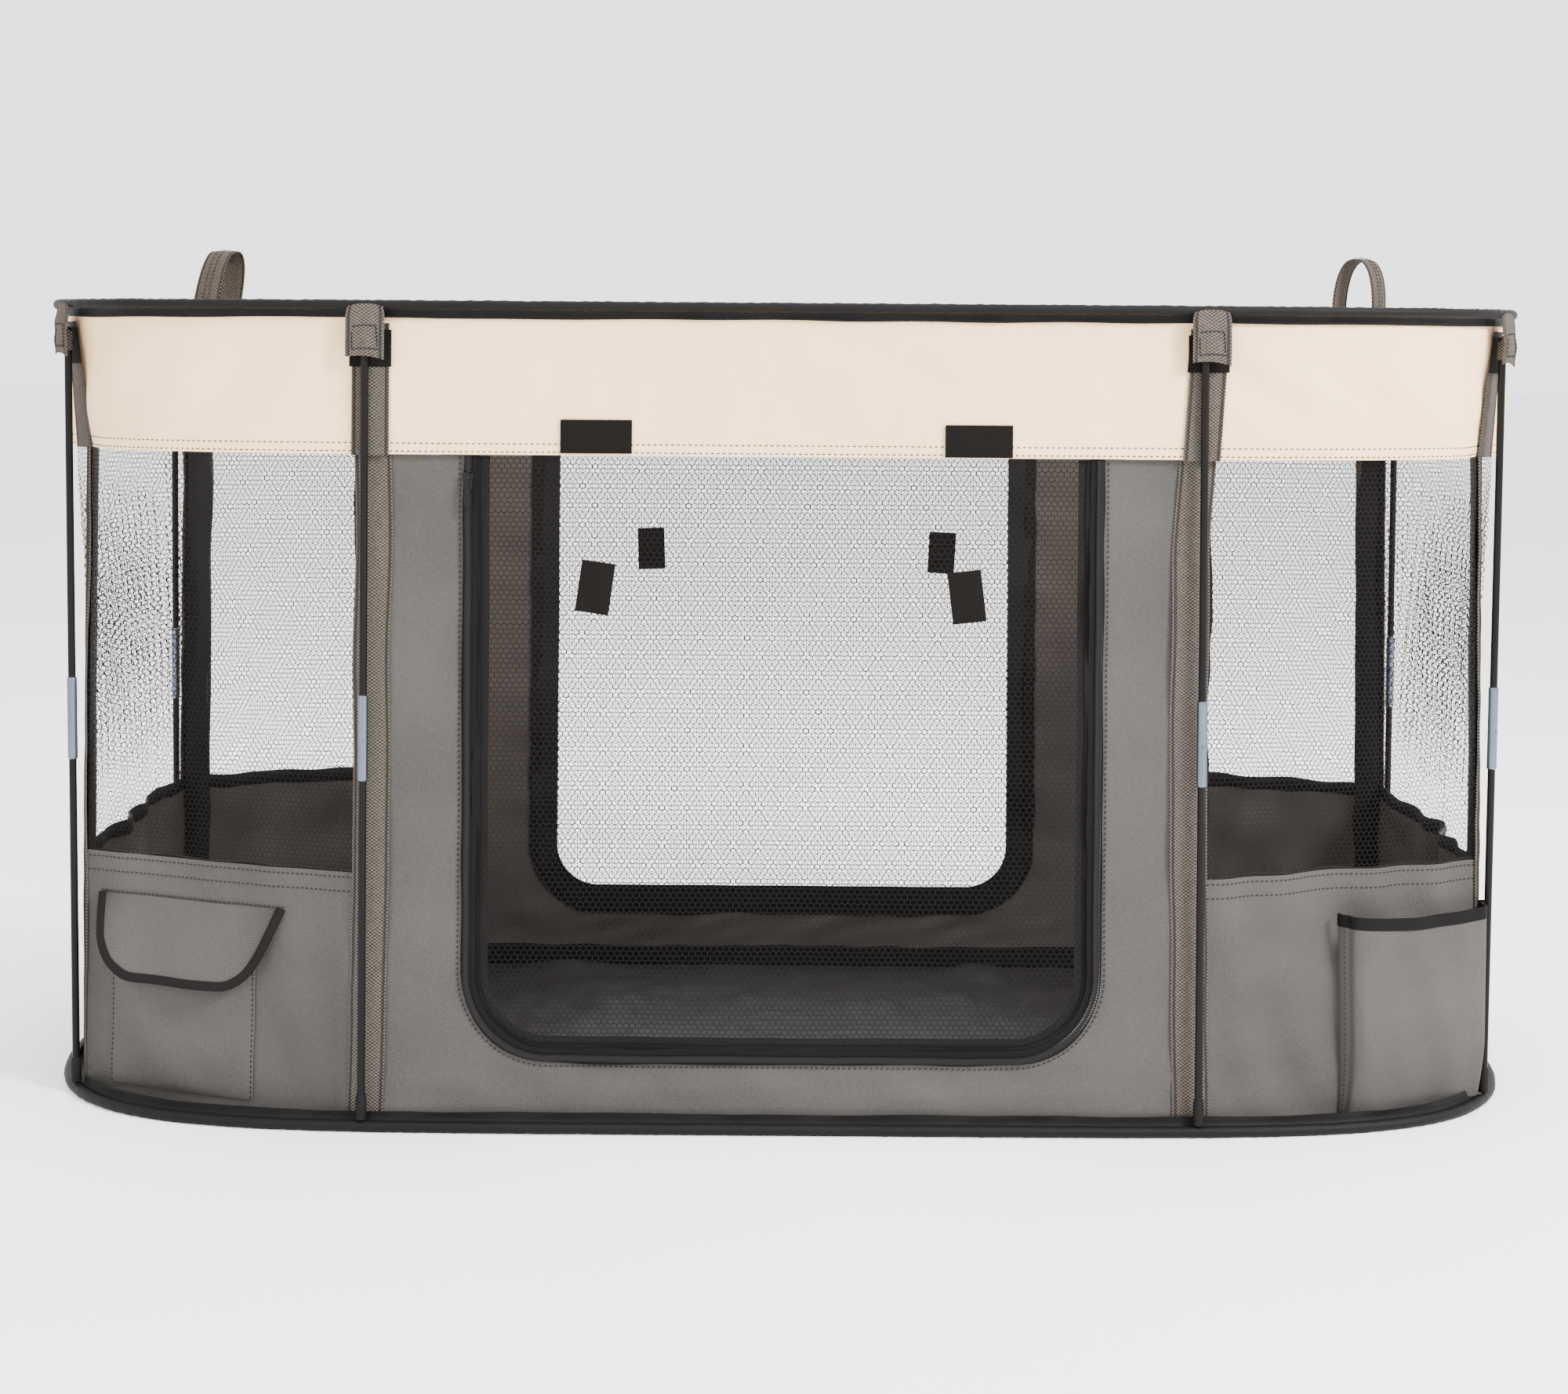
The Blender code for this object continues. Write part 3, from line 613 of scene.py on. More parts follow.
def sleeve(name, z, down, tail, body, node):
    """Nylon folded round the ring wire, its two edges sewn down to the wall as a narrow puckered hem."""
    arc = np.radians(225 + 335 * np.linspace(0, 1, SLEEVE_ARC_POINTS))
    section = [(SLEEVE_RADIUS * math.cos(a), SLEEVE_RADIUS * math.sin(a) * down) for a in arc]
    section += [(-0.0052, -SLEEVE_RADIUS * down), (-0.0058, -0.0058 * down)]
    section += [(-0.0058, h * down) for h in np.linspace(-0.0075, -tail, 5)]
    section = np.array(section)
    last = len(section) - 1
    length = float(np.linalg.norm(np.diff(section, axis=0), axis=1).sum())

    def place(turn, over):
        xy, outward, perimeter = ring_line(turn, z)
        run = turn * perimeter
        k = np.clip(np.round(over * last).astype(int), 0, last)
        out, up = section[k].T
        loose = np.clip((k - SLEEVE_ARC_POINTS + 1) / 6, 0, 1)
        pucker = 0.00022 * np.sin(2 * math.pi * run / 0.011 + 3 * np.sin(run * 37) + out * 900)
        pucker = pucker + 0.00018 * rumple(run, over * 0.02, 5, 0.02)
        swing = 0.0006 * rumple(run, 0 * run, 8, 0.05) * loose
        scale = 1 + pucker / SLEEVE_RADIUS * (1 - loose)
        hem = 0.0007 * rumple(run, 0 * run, 11, 0.07) * loose * (k == last) * down
        xy = xy + outward * (out * scale + swing)[:, None]
        return np.column_stack([xy, np.maximum(z + up * scale + hem, 0.0001)])

    perimeter = ring_line(np.array([0.0]), z)[2]
    piece = cloth(
        name, SLEEVE_COLUMNS, last, place, (perimeter, length), NYLON, SLEEVE_THICKNESS, closed=True
    )
    settle(piece, body, "black_cloth", *[f"{node}_{side}" for side in RING_LENGTHS])
    return piece


SLEEVE_TAIL = 0.0100
sleeve("top_ring_cover", TOP_RING_Z, 1, SLEEVE_TAIL, "top_ring", "top_ring_sleeve")
sleeve("base_ring_cover", BASE_RING_Z, -1, SLEEVE_TAIL, "pen", "base_ring_sleeve")
for wire in ("base_ring_wire", "top_ring_wire"):
    paint(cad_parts[wire], SPRING)

PERIMETER = ring_line(np.array([0.0]), TOP_RING_Z)[2]


def turn_near(spot, z=TOP_RING_Z):
    """The share of a turn at which the ring passes nearest to a spot."""
    fine = np.linspace(0, 1, 8001)
    xy = ring_line(fine, z)[0]
    return float(fine[np.argmin(np.hypot(*(xy - spot).T))])


POST_TURNS = [turn_near(post_xy(k, np.array([TOP_RING_Z]))[0]) for k in range(8)]


def away_from(turn, k):
    """How far round the ring, in metres, these turns are from post k."""
    gap = (np.asarray(turn) - POST_TURNS[k] + 0.5) % 1.0 - 0.5
    return gap * PERIMETER


def band_out(turn, up):
    """How far the band is from the ring's line: drawn in at its foot by the corners of the net."""
    pull = sum(np.exp(-(away_from(turn, k) / 0.042) ** 2) for k in END_POSTS)
    return -0.0071 - 0.0135 * pull * (1 - np.clip(up, 0, 1))


def band_place(turn, up, out=0.0):
    """The cream band, hung from the top ring nearly straight, with soft folds between the posts."""
    z = SEAM_Z + (BAND_TOP_Z - SEAM_Z) * np.asarray(up)
    xy, outward, perimeter = ring_line(turn, TOP_RING_Z)
    run = np.asarray(turn) * perimeter
    slack = np.sin(math.pi * np.clip(up * 1.06, 0, 1)) ** 1.2
    corner = np.clip((np.abs(xy[:, 0]) - 0.30) / 0.05, 0, 1)
    slanted = run + (z - SEAM_Z) * np.sign(xy[:, 0]) * 0.9
    ease = (0.0012 + 0.0024 * corner) * rumple(slanted, z * 0.5, 21, 0.075) * slack
    ease = ease + 0.0005 * rumple(run, z * 0.4, 22, 0.05) * slack
    hem = 0.0006 * rumple(run, 0 * z, 23, 0.04) * (1 - np.clip(up * 6, 0, 1))
    hem = hem - 0.0006 * np.clip((up - 0.8) * 6, 0, 1)
    xy = xy + outward * (band_out(turn, up) + ease + hem + out)[:, None]
    return np.column_stack([xy, z])


# Heights of the band's stitch rows above its lower edge
BAND_ROWS = (0.0022, 0.0085)


def band():
    height = BAND_TOP_Z - SEAM_Z
    flat = (PERIMETER, height)
    piece = cloth("cream_band", 640, 26, band_place, flat, CREAM, WALL_CLOTH, closed=True)
    settle(piece, "top_ring", "cream_cloth", *[f"top_band_{side}" for side in RING_LENGTHS])
    for number, above in enumerate(BAND_ROWS):
        turn = np.linspace(0, 1, 1600)
        up = np.full(len(turn), above / height)
        path = band_place(turn, up, 0.0)
        face = band_place(turn, up, 0.001) - path
        row = stitches(f"band_stitch_row_{number}", path, face, BROWN_THREAD, BAND_STITCH_PITCH)
        settle(row, "top_ring", "cream_cloth")


band()


FLOOR_SIZE = (1.182, 0.533)
FLOOR_EDGE_SIZE = (1.04, 0.018)


def floor_cloth():
    """The floor: dark nylon, sewn in at the ring and lying in low soft folds."""

    def place(across, over):
        s, t = across * 2 - 1, over * 2 - 1
        radius = np.maximum(np.abs(s), np.abs(t))
        turn = np.arctan2(t, s) / (2 * math.pi)
        xy, _, _ = ring_line(turn, BASE_RING_Z, -0.0048)
        xy = xy * radius[:, None]
        fold = np.abs(rumple(xy[:, 0] * 0.5, xy[:, 1], 31, 0.09)) ** 1.5
        fold = fold + 0.5 * np.abs(rumple(xy[:, 0], xy[:, 1], 32, 0.05))
        lift = 0.0042 * fold * np.clip((1 - radius) * 9, 0, 1)
        return np.column_stack([xy, 0.0021 + np.clip(lift, 0, 0.009)])

    piece = cloth("floor_cloth", 300, 150, place, FLOOR_SIZE, FLOOR_CLOTH, 0.0009)
    settle(piece, "pen", "black_cloth", "floor_panel")


floor_cloth()


# ---------------------------------------------------------------- lower walls and nets


def lower_ease(run, z):
    """Slack in the lower wall: waves that die out at the posts and the foot, calm behind the flap."""
    z = np.minimum(z, HEM_Z - 0.018)
    slack = np.clip((z - WALL_BOTTOM_Z) * 25, 0, 1)
    along = run * 0.26
    ease = 0.0050 * rumple(along + z * 0.35, z * 0.45, 41, 0.075) * slack
    ease = ease + 0.0013 * rumple(along - z * 0.5, z * 0.6, 42, 0.042) * slack
    calm = np.where((run % 8 > 7) | (run % 8 < 0.001), 0.35, 1.0)
    return ease * np.clip(np.abs(run - np.round(run)) * 7, 0.10, 1) * calm


def lower_wall_place(run, z, out=0.0):
    return wall(run, z, out + lower_ease(run, z))


def end_width(first):
    """The width of the three panels round one end."""
    return sum(panel_width(first + i) for i in range(3))


# Depths of the hem's stitch rows under the wall's top edge
HEM_ROWS = (0.0040, 0.0150)


def lower_wall(side, first):
    width = end_width(first)
    height = HEM_Z - WALL_BOTTOM_Z

    def place(across, up):
        return lower_wall_place(first + across * 3 * 0.99999, WALL_BOTTOM_Z + height * up)

    piece = cloth(
        f"{side}_lower_cloth", 186, 36, place, (width, height), GREY, WALL_CLOTH, inside=LINING
    )
    settle(piece, "pen", "grey_cloth", f"{side}_lower_wall")
    run = np.linspace(first, first + 2.9999, 700)
    for number, below in enumerate(HEM_ROWS):
        z = np.full(len(run), HEM_Z - below)
        path = lower_wall_place(run, z, 0.0001)
        face = lower_wall_place(run, z, 0.0011) - path
        row = stitches(f"{side}_hem_stitch_row_{number}", path, face, GREY_THREAD)
        settle(row, "pen", "grey_cloth")
    z = HEM_Z - 0.0045 + 0 * run
    path = lower_wall_place(run, z, -0.0011)
    face = lower_wall_place(run, z, -0.0021) - path
    bind = ribbon(
        f"{side}_hem_binding", path, face, 0.012, NYLON, 0.0008, across=4,
        edge=lambda s, side_sign: 0.0010 * rumple(s, 0 * s, 44 + side_sign, 0.04), crown=0.0008,
    )
    settle(bind, "pen", "black_cloth")


lower_wall("left", 5)
lower_wall("right", 1)


def floor_edge():
    """The floor's turned-up edge, sewn along the foot of the rear wall on the inside."""
    run = np.linspace(3.02, 5.98, 500)
    z = np.full(500, 0.0130)
    out = np.where((run > 4) & (run < 5), 0.0, lower_ease(run, z)) - 0.0030
    path = wall(run, z, out)
    face = wall(run, z, out - 0.001) - path
    edge = ribbon(
        "floor_edge", path, face, FLOOR_EDGE_SIZE[1], NYLON, 0.0008, across=4,
        edge=lambda s, side_sign: 0.0010 * rumple(s, 0 * s, 47 + side_sign, 0.05),
    )
    settle(edge, "pen", "black_cloth", fold="wall")


floor_edge()


NET_PITCH = 0.0048
NET_STRAND = 0.00058
NET_ROW = 0.78


def net_mesh(name, width, height, place, keep=None):
    """Netting of six-sided holes as flat knitted strands, one ring of strand round each hole.

    The real yarn is about 0.4 mm and the holes 3.8 mm apart. Both are drawn a quarter larger.
    """
    row_step = NET_PITCH * NET_ROW
    columns, rows = int(width / NET_PITCH), int(height / row_step)
    column, row = np.meshgrid(np.arange(columns + 1), np.arange(rows + 1))
    centres = np.column_stack([
        ((column + 0.5 * (row % 2)) * NET_PITCH).ravel(), (row * row_step).ravel(),
    ])
    fit = width / ((columns + 0.5) * NET_PITCH)
    centres[:, 0] *= fit
    centres[:, 1] *= height / (rows * row_step)
    if keep is not None:
        centres = centres[keep(centres[:, 0], centres[:, 1])]
    turn = np.radians(30 + 60 * np.arange(6))
    ring = np.column_stack([np.cos(turn), np.sin(turn) * NET_ROW * 2 / math.sqrt(3)])
    ring = ring * NET_PITCH / math.sqrt(3)
    outer = centres[:, None] + ring[None] * np.array([fit, 1.0])
    inner = centres[:, None] + ring[None] * (1 - NET_STRAND / NET_PITCH)
    keys = np.round(outer.reshape(-1, 2) / 0.0004).astype(int)
    _, first, same = np.unique(keys, axis=0, return_index=True, return_inverse=True)
    same = same.reshape(-1, 6)
    shared = outer.reshape(-1, 2)[first]
    flat = np.vstack([shared, inner.reshape(-1, 2)])
    flat[:, 0] = np.clip(flat[:, 0], 0, width)
    flat[:, 1] = np.clip(flat[:, 1], 0, height)
    own = len(shared) + np.arange(len(centres) * 6).reshape(-1, 6)
    faces = np.stack([same, np.roll(same, -1, 1), np.roll(own, -1, 1), own], axis=-1).reshape(-1, 4)
    points = place(flat[:, 0] / width, flat[:, 1] / height)
    piece = new_mesh(name, points.tolist(), faces.tolist())
    paint(piece, NET)
    return piece


def net_wall_place(run, z):
    """Net, drawn tight at the seams and gathered in upright folds beside the end posts."""
    end = np.clip((0.95 - np.abs(run % 4 - 2.5)) * 3, 0, 1)
    slack = np.sin(math.pi * np.clip((z - HEM_Z) / (SEAM_Z - HEM_Z), 0, 1))
    fold = np.sin(2 * math.pi * run * 8.3 + 2.1 * np.sin(run * 5) + 9 * (z - 0.3))
    sharp = -np.abs(fold) ** 0.6
    out = ((0.0085 * sharp + 0.003) * end + 0.0018 * rumple(run * 0.26, z * 0.5, 52, 0.09)) * slack
    foot = np.clip(1 - (z - HEM_Z) / 0.05, 0, 1)
    out = np.clip(out - 0.0006, -0.010, 0.0008) * (1 - foot) + foot * (lower_ease(run, HEM_Z) - 0.0014)
    return wall(run, z, out)


def net_wall(side, first):
    width = end_width(first)
    low, high = HEM_Z - 0.006, SEAM_Z + 0.010

    def place(across, up):
        return net_wall_place(first + across * 3 * 0.99999, low + (high - low) * up)

    piece = net_mesh(f"{side}_net", width, high - low, place)
    settle(piece, "pen", "black_net", f"{side}_net_wall", fold="net")


net_wall("left", 5)
net_wall("right", 1)


# ---------------------------------------------------------------- doors


def panel_at(k, along, z, out=0.0):
    """A point of panel k at this distance along from its middle."""
    along, z = np.broadcast_arrays(np.asarray(along, float), np.asarray(z, float))
    start, end = corner_xy(k, z)[0], corner_xy((k + 1) % 8, z)[0]
    width = np.linalg.norm(end - start, axis=-1)
    return panel(k, 0.5 + along / width, z, out)


def u_points(offset, top, arc=15, side=60, under=60):
    """Points down the left side, round under and up the right, this far outside the zip's line."""
    half, low, radius = ZIP_HALF_WIDTH + offset, ZIP_BOTTOM_Z - offset, ZIP_RADIUS + offset
    down = np.linspace(top, low + radius, side, endpoint=False)
    left = np.column_stack([np.full(side, -half), down])
    turn = np.linspace(math.pi, 1.5 * math.pi, arc, endpoint=False)
    first = np.column_stack([-half + radius + radius * np.cos(turn), low + radius + radius * np.sin(turn)])
    flat = np.linspace(-half + radius, half - radius, under, endpoint=False)
    bottom = np.column_stack([flat, np.full(under, low)])
    turn = np.linspace(1.5 * math.pi, 2 * math.pi, arc, endpoint=False)
    second = np.column_stack([half - radius + radius * np.cos(turn), low + radius + radius * np.sin(turn)])
    up = np.linspace(low + radius, top, side + 1)
    right = np.column_stack([np.full(side + 1, half), up])
    return np.vstack([left, first, bottom, second, right])


def outer_points(k, top, arc=15, side=60, under=60):
    """Points on the edge of the surround that face those of u_points."""
    low = WALL_BOTTOM_Z
    start = ZIP_BOTTOM_Z + ZIP_RADIUS
    edge = panel_width(k) / 2 - 0.0005
    inner = ZIP_HALF_WIDTH - ZIP_RADIUS
    half = arc // 2

    def line(a, b, count, last=False):
        share = np.linspace(0, 1, count, endpoint=last)[:, None]
        return np.array(a) * (1 - share) + np.array(b) * share

    return np.vstack([
        line((-edge, top), (-edge, start), side),
        line((-edge, start), (-edge, low), half), line((-edge, low), (-inner, low), arc - half),
        line((-inner, low), (inner, low), under),
        line((inner, low), (edge, low), half), line((edge, low), (edge, start), arc - half),
        line((edge, start), (edge, top), side + 1, True),
    ])


def surround_ease(along, z, seed):
    """Soft buckles in the door surround, deepest beside the zip, where the tape draws the cloth in."""
    to_zip = np.abs(np.abs(along) - ZIP_HALF_WIDTH)
    close = np.exp(-to_zip / 0.045)
    slack = np.clip((SEAM_Z - z) * 18, 0, 1) * np.clip((z - WALL_BOTTOM_Z) * 30, 0, 1)
    broad = 0.0019 * rumple(along, z * 0.6, seed, 0.13)
    drawn = 0.0014 * close * rumple(along * 0.35, z, seed + 1, 0.045)
    under = np.clip((0.075 - z) * 30, 0, 1)
    slanted = 0.0013 * rumple(along + z * 1.4, z - along * 0.2, seed + 2, 0.05) * under
    return (broad + drawn + slanted) * slack


# How many points a tape has round each corner, down each side and along the foot
TAPE_POINTS = (20, 140, 150)


def tape_edge(seed):
    """Unevenness of a tape's two edges, where it was sewn on by eye."""
    return lambda s, sign: 0.0007 * rumple(s, 0 * s, seed + sign, 0.06)


def doorway(side, k, seed):
    top = SEAM_Z - 0.0005
    inner, outer = u_points(0.0, top), outer_points(k, top)
    last = len(inner) - 1

    def place(along, over):
        i = np.clip(np.round(along * last).astype(int), 0, last)
        flat = outer[i] * (1 - over[:, None]) + inner[i] * over[:, None]
        return panel_at(k, flat[:, 0], flat[:, 1], surround_ease(flat[:, 0], flat[:, 1], seed) + 0.0003)

    def tilted(path, out):
        """A line on the panel with its outward directions."""
        x, z = path.T
        ease = surround_ease(x, z, seed)
        spots = panel_at(k, x, z, ease + out)
        return spots, panel_at(k, x, z, ease + out + 0.001) - spots

    surround = cloth(
        f"{side}_surround_cloth", last, 16, place, (1.42, 0.075), GREY, WALL_CLOTH, inside=LINING
    )
    plane_map(surround, 0)
    settle(surround, "pen", "grey_cloth", f"{side}_door_surround", fold="wall")

    spots, face = tilted(u_points(-0.0018, top, *TAPE_POINTS), 0.0020)
    tape = ribbon(
        f"{side}_zip_tape", spots, face, 0.0115, TAPE, NYLON_TAPE, across=4, edge=tape_edge(seed + 3)
    )
    settle(tape, "pen", "black_zip", f"{side}_zip_chain", fold="wall")
    coil = zip_coil(f"{side}_zip_coil", *tilted(u_points(0.0, top, 60, 260, 260), 0.0022))
    settle(coil, "pen", "black_zip", fold="wall")
    spots, face = tilted(u_points(0.0065, top, *TAPE_POINTS), 0.0009)
    sewn = stitches(f"{side}_zip_stitch_row", spots, face, GREY_THREAD, 0.0042)
    settle(sewn, "pen", "black_zip", fold="wall")
    spots, face = tilted(u_points(-0.003, top, *TAPE_POINTS), -0.0022)
    lining_tape = ribbon(
        f"{side}_zip_lining_tape", spots, -face, 0.010, TAPE, NYLON_TAPE, across=4,
        edge=tape_edge(seed + 9),
    )
    settle(lining_tape, "pen", "black_zip", fold="wall")
    door(side, k, seed, top)


def plane_map(piece, k):
    """Lays a piece's cloth map out flat, across and up in metres, so that its threads run straight."""
    mesh = piece.data
    map_data = mesh.uv_layers.active.data
    for loop in mesh.loops:
        spot = mesh.vertices[loop.vertex_index].co
        map_data[loop.index].uv = (spot.x, spot.z)


def zip_coil(name, spots, face):
    """Two rows of coil loops that lock in the middle. The real pitch is 1.3 mm, drawn at 2 mm."""
    run = distances(spots)
    at = np.arange(0, run[-1], 0.0010)
    spots, face = at_distances(run, at, spots, face)
    section = np.array([
        (-0.0029, 0.0), (-0.0027, 0.0011), (-0.0016, 0.0015), (-0.0003, 0.0010),
        (0.0003, 0.0010), (0.0016, 0.0015), (0.0027, 0.0011), (0.0029, 0.0),
    ])
    scale = np.ones((len(at), len(section), 2))
    odd = (np.arange(len(at)) % 2).astype(bool)
    scale[odd, 1:4, 1] = 0.45
    scale[~odd, 4:7, 1] = 0.45
    return swept(name, spots, face, section, COIL, scale)


def door(side, k, seed, top):
    """The net door: one net panel inside the zip, edged with black tape, and two hook patches."""
    half, low = ZIP_HALF_WIDTH - 0.006, ZIP_BOTTOM_Z + 0.006
    radius = ZIP_RADIUS - 0.006
    width, height = 2 * half, DOOR_TOP_Z - low

    def inside(x, y):
        x = np.abs(x - half)
        corner_x, corner_y = x - (half - radius), radius - y
        return (corner_x < 0) | (corner_y < 0) | (np.hypot(corner_x, corner_y) < radius)

    def ease(x, z):
        slack = np.clip((DOOR_TOP_Z - z) * 14, 0, 1)
        broad = 0.0016 * rumple(x * 0.6, z, seed + 20, 0.14)
        return (broad + 0.0006 * rumple(x, z, seed + 21, 0.05)) * slack

    def place(across, up):
        x, z = (across - 0.5) * width, low + height * up
        return panel_at(k, x, z, ease(x, z))

    net = net_mesh(f"{side}_door_net", width, height, place, keep=inside)
    body = f"{side}_door"
    settle(net, body, "black_net", f"{side}_door", fold="wall")

    def on_door(path, out):
        x, z = path.T
        spots = panel_at(k, x, z, ease(x, z) + out)
        return spots, panel_at(k, x, z, ease(x, z) + out + 0.001) - spots

    spots, face = on_door(u_points(-0.0074, DOOR_TOP_Z, *TAPE_POINTS), 0.0009)
    edging = ribbon(
        f"{side}_door_edging", spots, face, 0.0055, TAPE, NYLON_TAPE, across=3,
        edge=tape_edge(seed + 30),
    )
    settle(edging, body, "black_cloth", fold="wall")
    hem_width = DOOR_HEMS[side] - 0.003
    spots, face = on_door(u_points(-0.003 - hem_width / 2, DOOR_TOP_Z, *TAPE_POINTS), -0.0012)
    hem = ribbon(
        f"{side}_door_inner_hem", spots, -face, hem_width, NYLON, NYLON_TAPE, across=6,
        edge=lambda s, sign: hem_edge(s, seed + 36) if sign > 0 else 0 * s,
    )
    settle(hem, body, "black_cloth", fold="wall")
    for number, (x, z, lean) in enumerate(DOOR_PATCHES[side]):
        patch = hook_patch(f"{side}_door_patch_{number}", k, x, z, 0.026, 0.040, lean, 0.0032)
        settle(patch, body, "black_cloth", fold="wall")


DOOR_HEMS = {"front": 0.0165, "rear": 0.0250}


def hem_edge(s, seed):
    """The raw inner edge of the hem tape, which waves and steps where it was cut and overlapped."""
    wave = 0.0022 * rumple(s, 0 * s, seed, 0.11)
    step = 0.0013 * np.tanh(6 * rumple(s, 0 * s, seed + 1, 0.13))
    return wave + step


DOOR_PATCHES = {
    "front": ((-0.1448, 0.4194, -8), (0.1412, 0.4140, 7)),
    "rear": ((0.1288, 0.4067, -2), (-0.1540, 0.4044, 3)),
}


def hook_patch(name, k, x, z, width, height, lean, out):
    """A rectangle of hook tape: a soft-edged slab with a furred face and a sewn border."""
    piece = new_grid(name, 26, 30)
    middle = panel_at(k, np.array([x]), np.array([z]), out)[0]
    right = unit(panel_at(k, np.array([x + 0.01]), np.array([z]), out)[0] - middle)
    up = unit(panel_at(k, np.array([x]), np.array([z + 0.01]), out)[0] - middle)
    outward = np.cross(right, up)
    turn = math.radians(lean)
    across = right * math.cos(turn) + up * math.sin(turn)
    above = np.cross(outward, across)
    for v in piece.data.vertices:
        s, t = v.co.x, v.co.y
        edge = min(0.5 - abs(s), 0.5 - abs(t))
        lift = 0.0007 * min(edge * 14, 1) - 0.0005 * math.exp(-((edge - 0.09) * 60) ** 2)
        lift += 0.0006 * math.sin(5 * s + 2 * t) * 0.5
        v.co = Vector(middle + across * (s * width) + above * (t * height) + outward * lift)
    paint(piece, HOOK)
    apply_modifier(piece, "SOLIDIFY", thickness=0.0009, offset=-1.0)
    smooth(piece, 60)
    return piece


# The wall panel of each doorway, and the first of its random seeds
doorway("front", 0, 60)
doorway("rear", 4, 160)


def band_patch(name, x, z, width, height, side):
    """A hook patch on the lower edge of the band."""
    piece = new_grid(name, 40, 20)
    depth = ring_half(TOP_RING_Z)[1] - 0.0071 + 0.0022
    for v in piece.data.vertices:
        s, t = v.co.x, v.co.y
        edge = min(0.5 - abs(s), 0.5 - abs(t))
        lift = 0.0006 * min(edge * 14, 1) - 0.0004 * math.exp(-((edge - 0.08) * 60) ** 2)
        bow = ring_half(TOP_RING_Z)[1] * (1 - abs((x + s * width) / TOP_HALF[0]) ** 6) ** (1 / 3)
        y = depth + bow - ring_half(TOP_RING_Z)[1] + lift
        v.co = Vector((x + s * width * -side, side * y, z + t * height))
    paint(piece, HOOK)
    apply_modifier(piece, "SOLIDIFY", thickness=0.0010, offset=-1.0)
    smooth(piece, 60)
    return settle(piece, "top_ring", "black_cloth")


band_patch("front_band_patch_0", -0.1445, 0.5356, 0.055, 0.026, -1)
band_patch("front_band_patch_1", 0.1493, 0.5339, 0.052, 0.025, -1)
band_patch("rear_band_patch_0", 0.1445, 0.5356, 0.055, 0.026, 1)
band_patch("rear_band_patch_1", -0.1493, 0.5339, 0.052, 0.025, 1)


# ---------------------------------------------------------------- zip sliders


def zip_slider(side, sign):
    """A cast slider: a bevelled wedge body and an arched bridge, and a waisted pull with a sunk panel."""
    k = {"front": 0, "rear": 4}[side]

    def middle_of(node, out):
        low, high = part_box(node)
        return Vector(panel_at(k, -ZIP_HALF_WIDTH, np.array([(low[2] + high[2]) / 2]), out)[0])

    body = new_primitive(f"{side}_slider_body", bpy.ops.mesh.primitive_cube_add, size=1)
    body.data.transform(Matrix.Diagonal((0.0090, 0.0016, 0.0130, 1)))
    for v in body.data.vertices:
        if v.co.z < 0:
            v.co.x *= 0.66
        v.co.y += 0.0004
    apply_modifier(body, "BEVEL", width=0.0007, segments=3)
    bridge = bridge_loop(f"{side}_slider_bridge")
    only(body)
    bridge.select_set(True)
    bpy.ops.object.join()
    place_piece(body, middle_of(f"{side}_zip_slider", 0.0050), sign)
    paint(body, ENAMEL)
    smooth(body)
    settle(body, f"{side}_slider", "black_zip", f"{side}_zip_slider", fold="wall")
    pull = pull_tab(f"{side}_slider_pull")
    place_piece(pull, middle_of(f"{side}_zip_pull", 0.0078), sign)
    settle(pull, f"{side}_pull", "black_zip", f"{side}_zip_pull", fold="wall")


def bridge_loop(name):
    """The arched bridge that the pull hangs on."""
    turn = np.linspace(0, math.pi, 12)
    path = np.column_stack([0 * turn, -0.0004 - 0.0010 * np.sin(turn), 0.0042 * np.cos(turn)])
    face = np.column_stack([0 * turn, -np.sin(turn) - 0.01, np.cos(turn)])
    circle = [(0.0008 * math.cos(a), 0.0004 * math.sin(a)) for a in np.linspace(0, 2 * math.pi, 9)[:-1]]
    return swept(name, path, face, circle, ENAMEL)


def pull_tab(name):
    """The pull: a flat tab with a waist, a round eye end and a sunk panel."""
    tab = new_grid(name, 6, 22)
    for v in tab.data.vertices:
        s, t = v.co.x, v.co.y
        waist = 0.0026 * (1 - 0.38 * math.exp(-((t - 0.26) / 0.16) ** 2))
        rounded = math.sqrt(max(1 - max(abs(t) - 0.36, 0) ** 2 / 0.14 ** 2, 0.04))
        sunk = 0.0003 if abs(s) < 0.3 and -0.40 < t < 0.02 else 0.0
        v.co = Vector((s * 2 * waist * rounded, -0.0003 + sunk, t * 0.0230))
    paint(tab, ENAMEL)
    apply_modifier(tab, "SOLIDIFY", thickness=0.0007, offset=0.0)
    apply_modifier(tab, "BEVEL", width=0.00015, segments=2)
    smooth(tab)
    return tab


def place_piece(piece, middle, sign):
    """Turns a piece made facing -Y to face front or rear, and moves it to its place."""
    turned = Matrix.Rotation(0 if sign < 0 else math.pi, 4, "Z")
    piece.data.transform(Matrix.Translation(middle) @ turned)


zip_slider("front", -1)
zip_slider("rear", 1)


# ---------------------------------------------------------------- straps and seam bindings


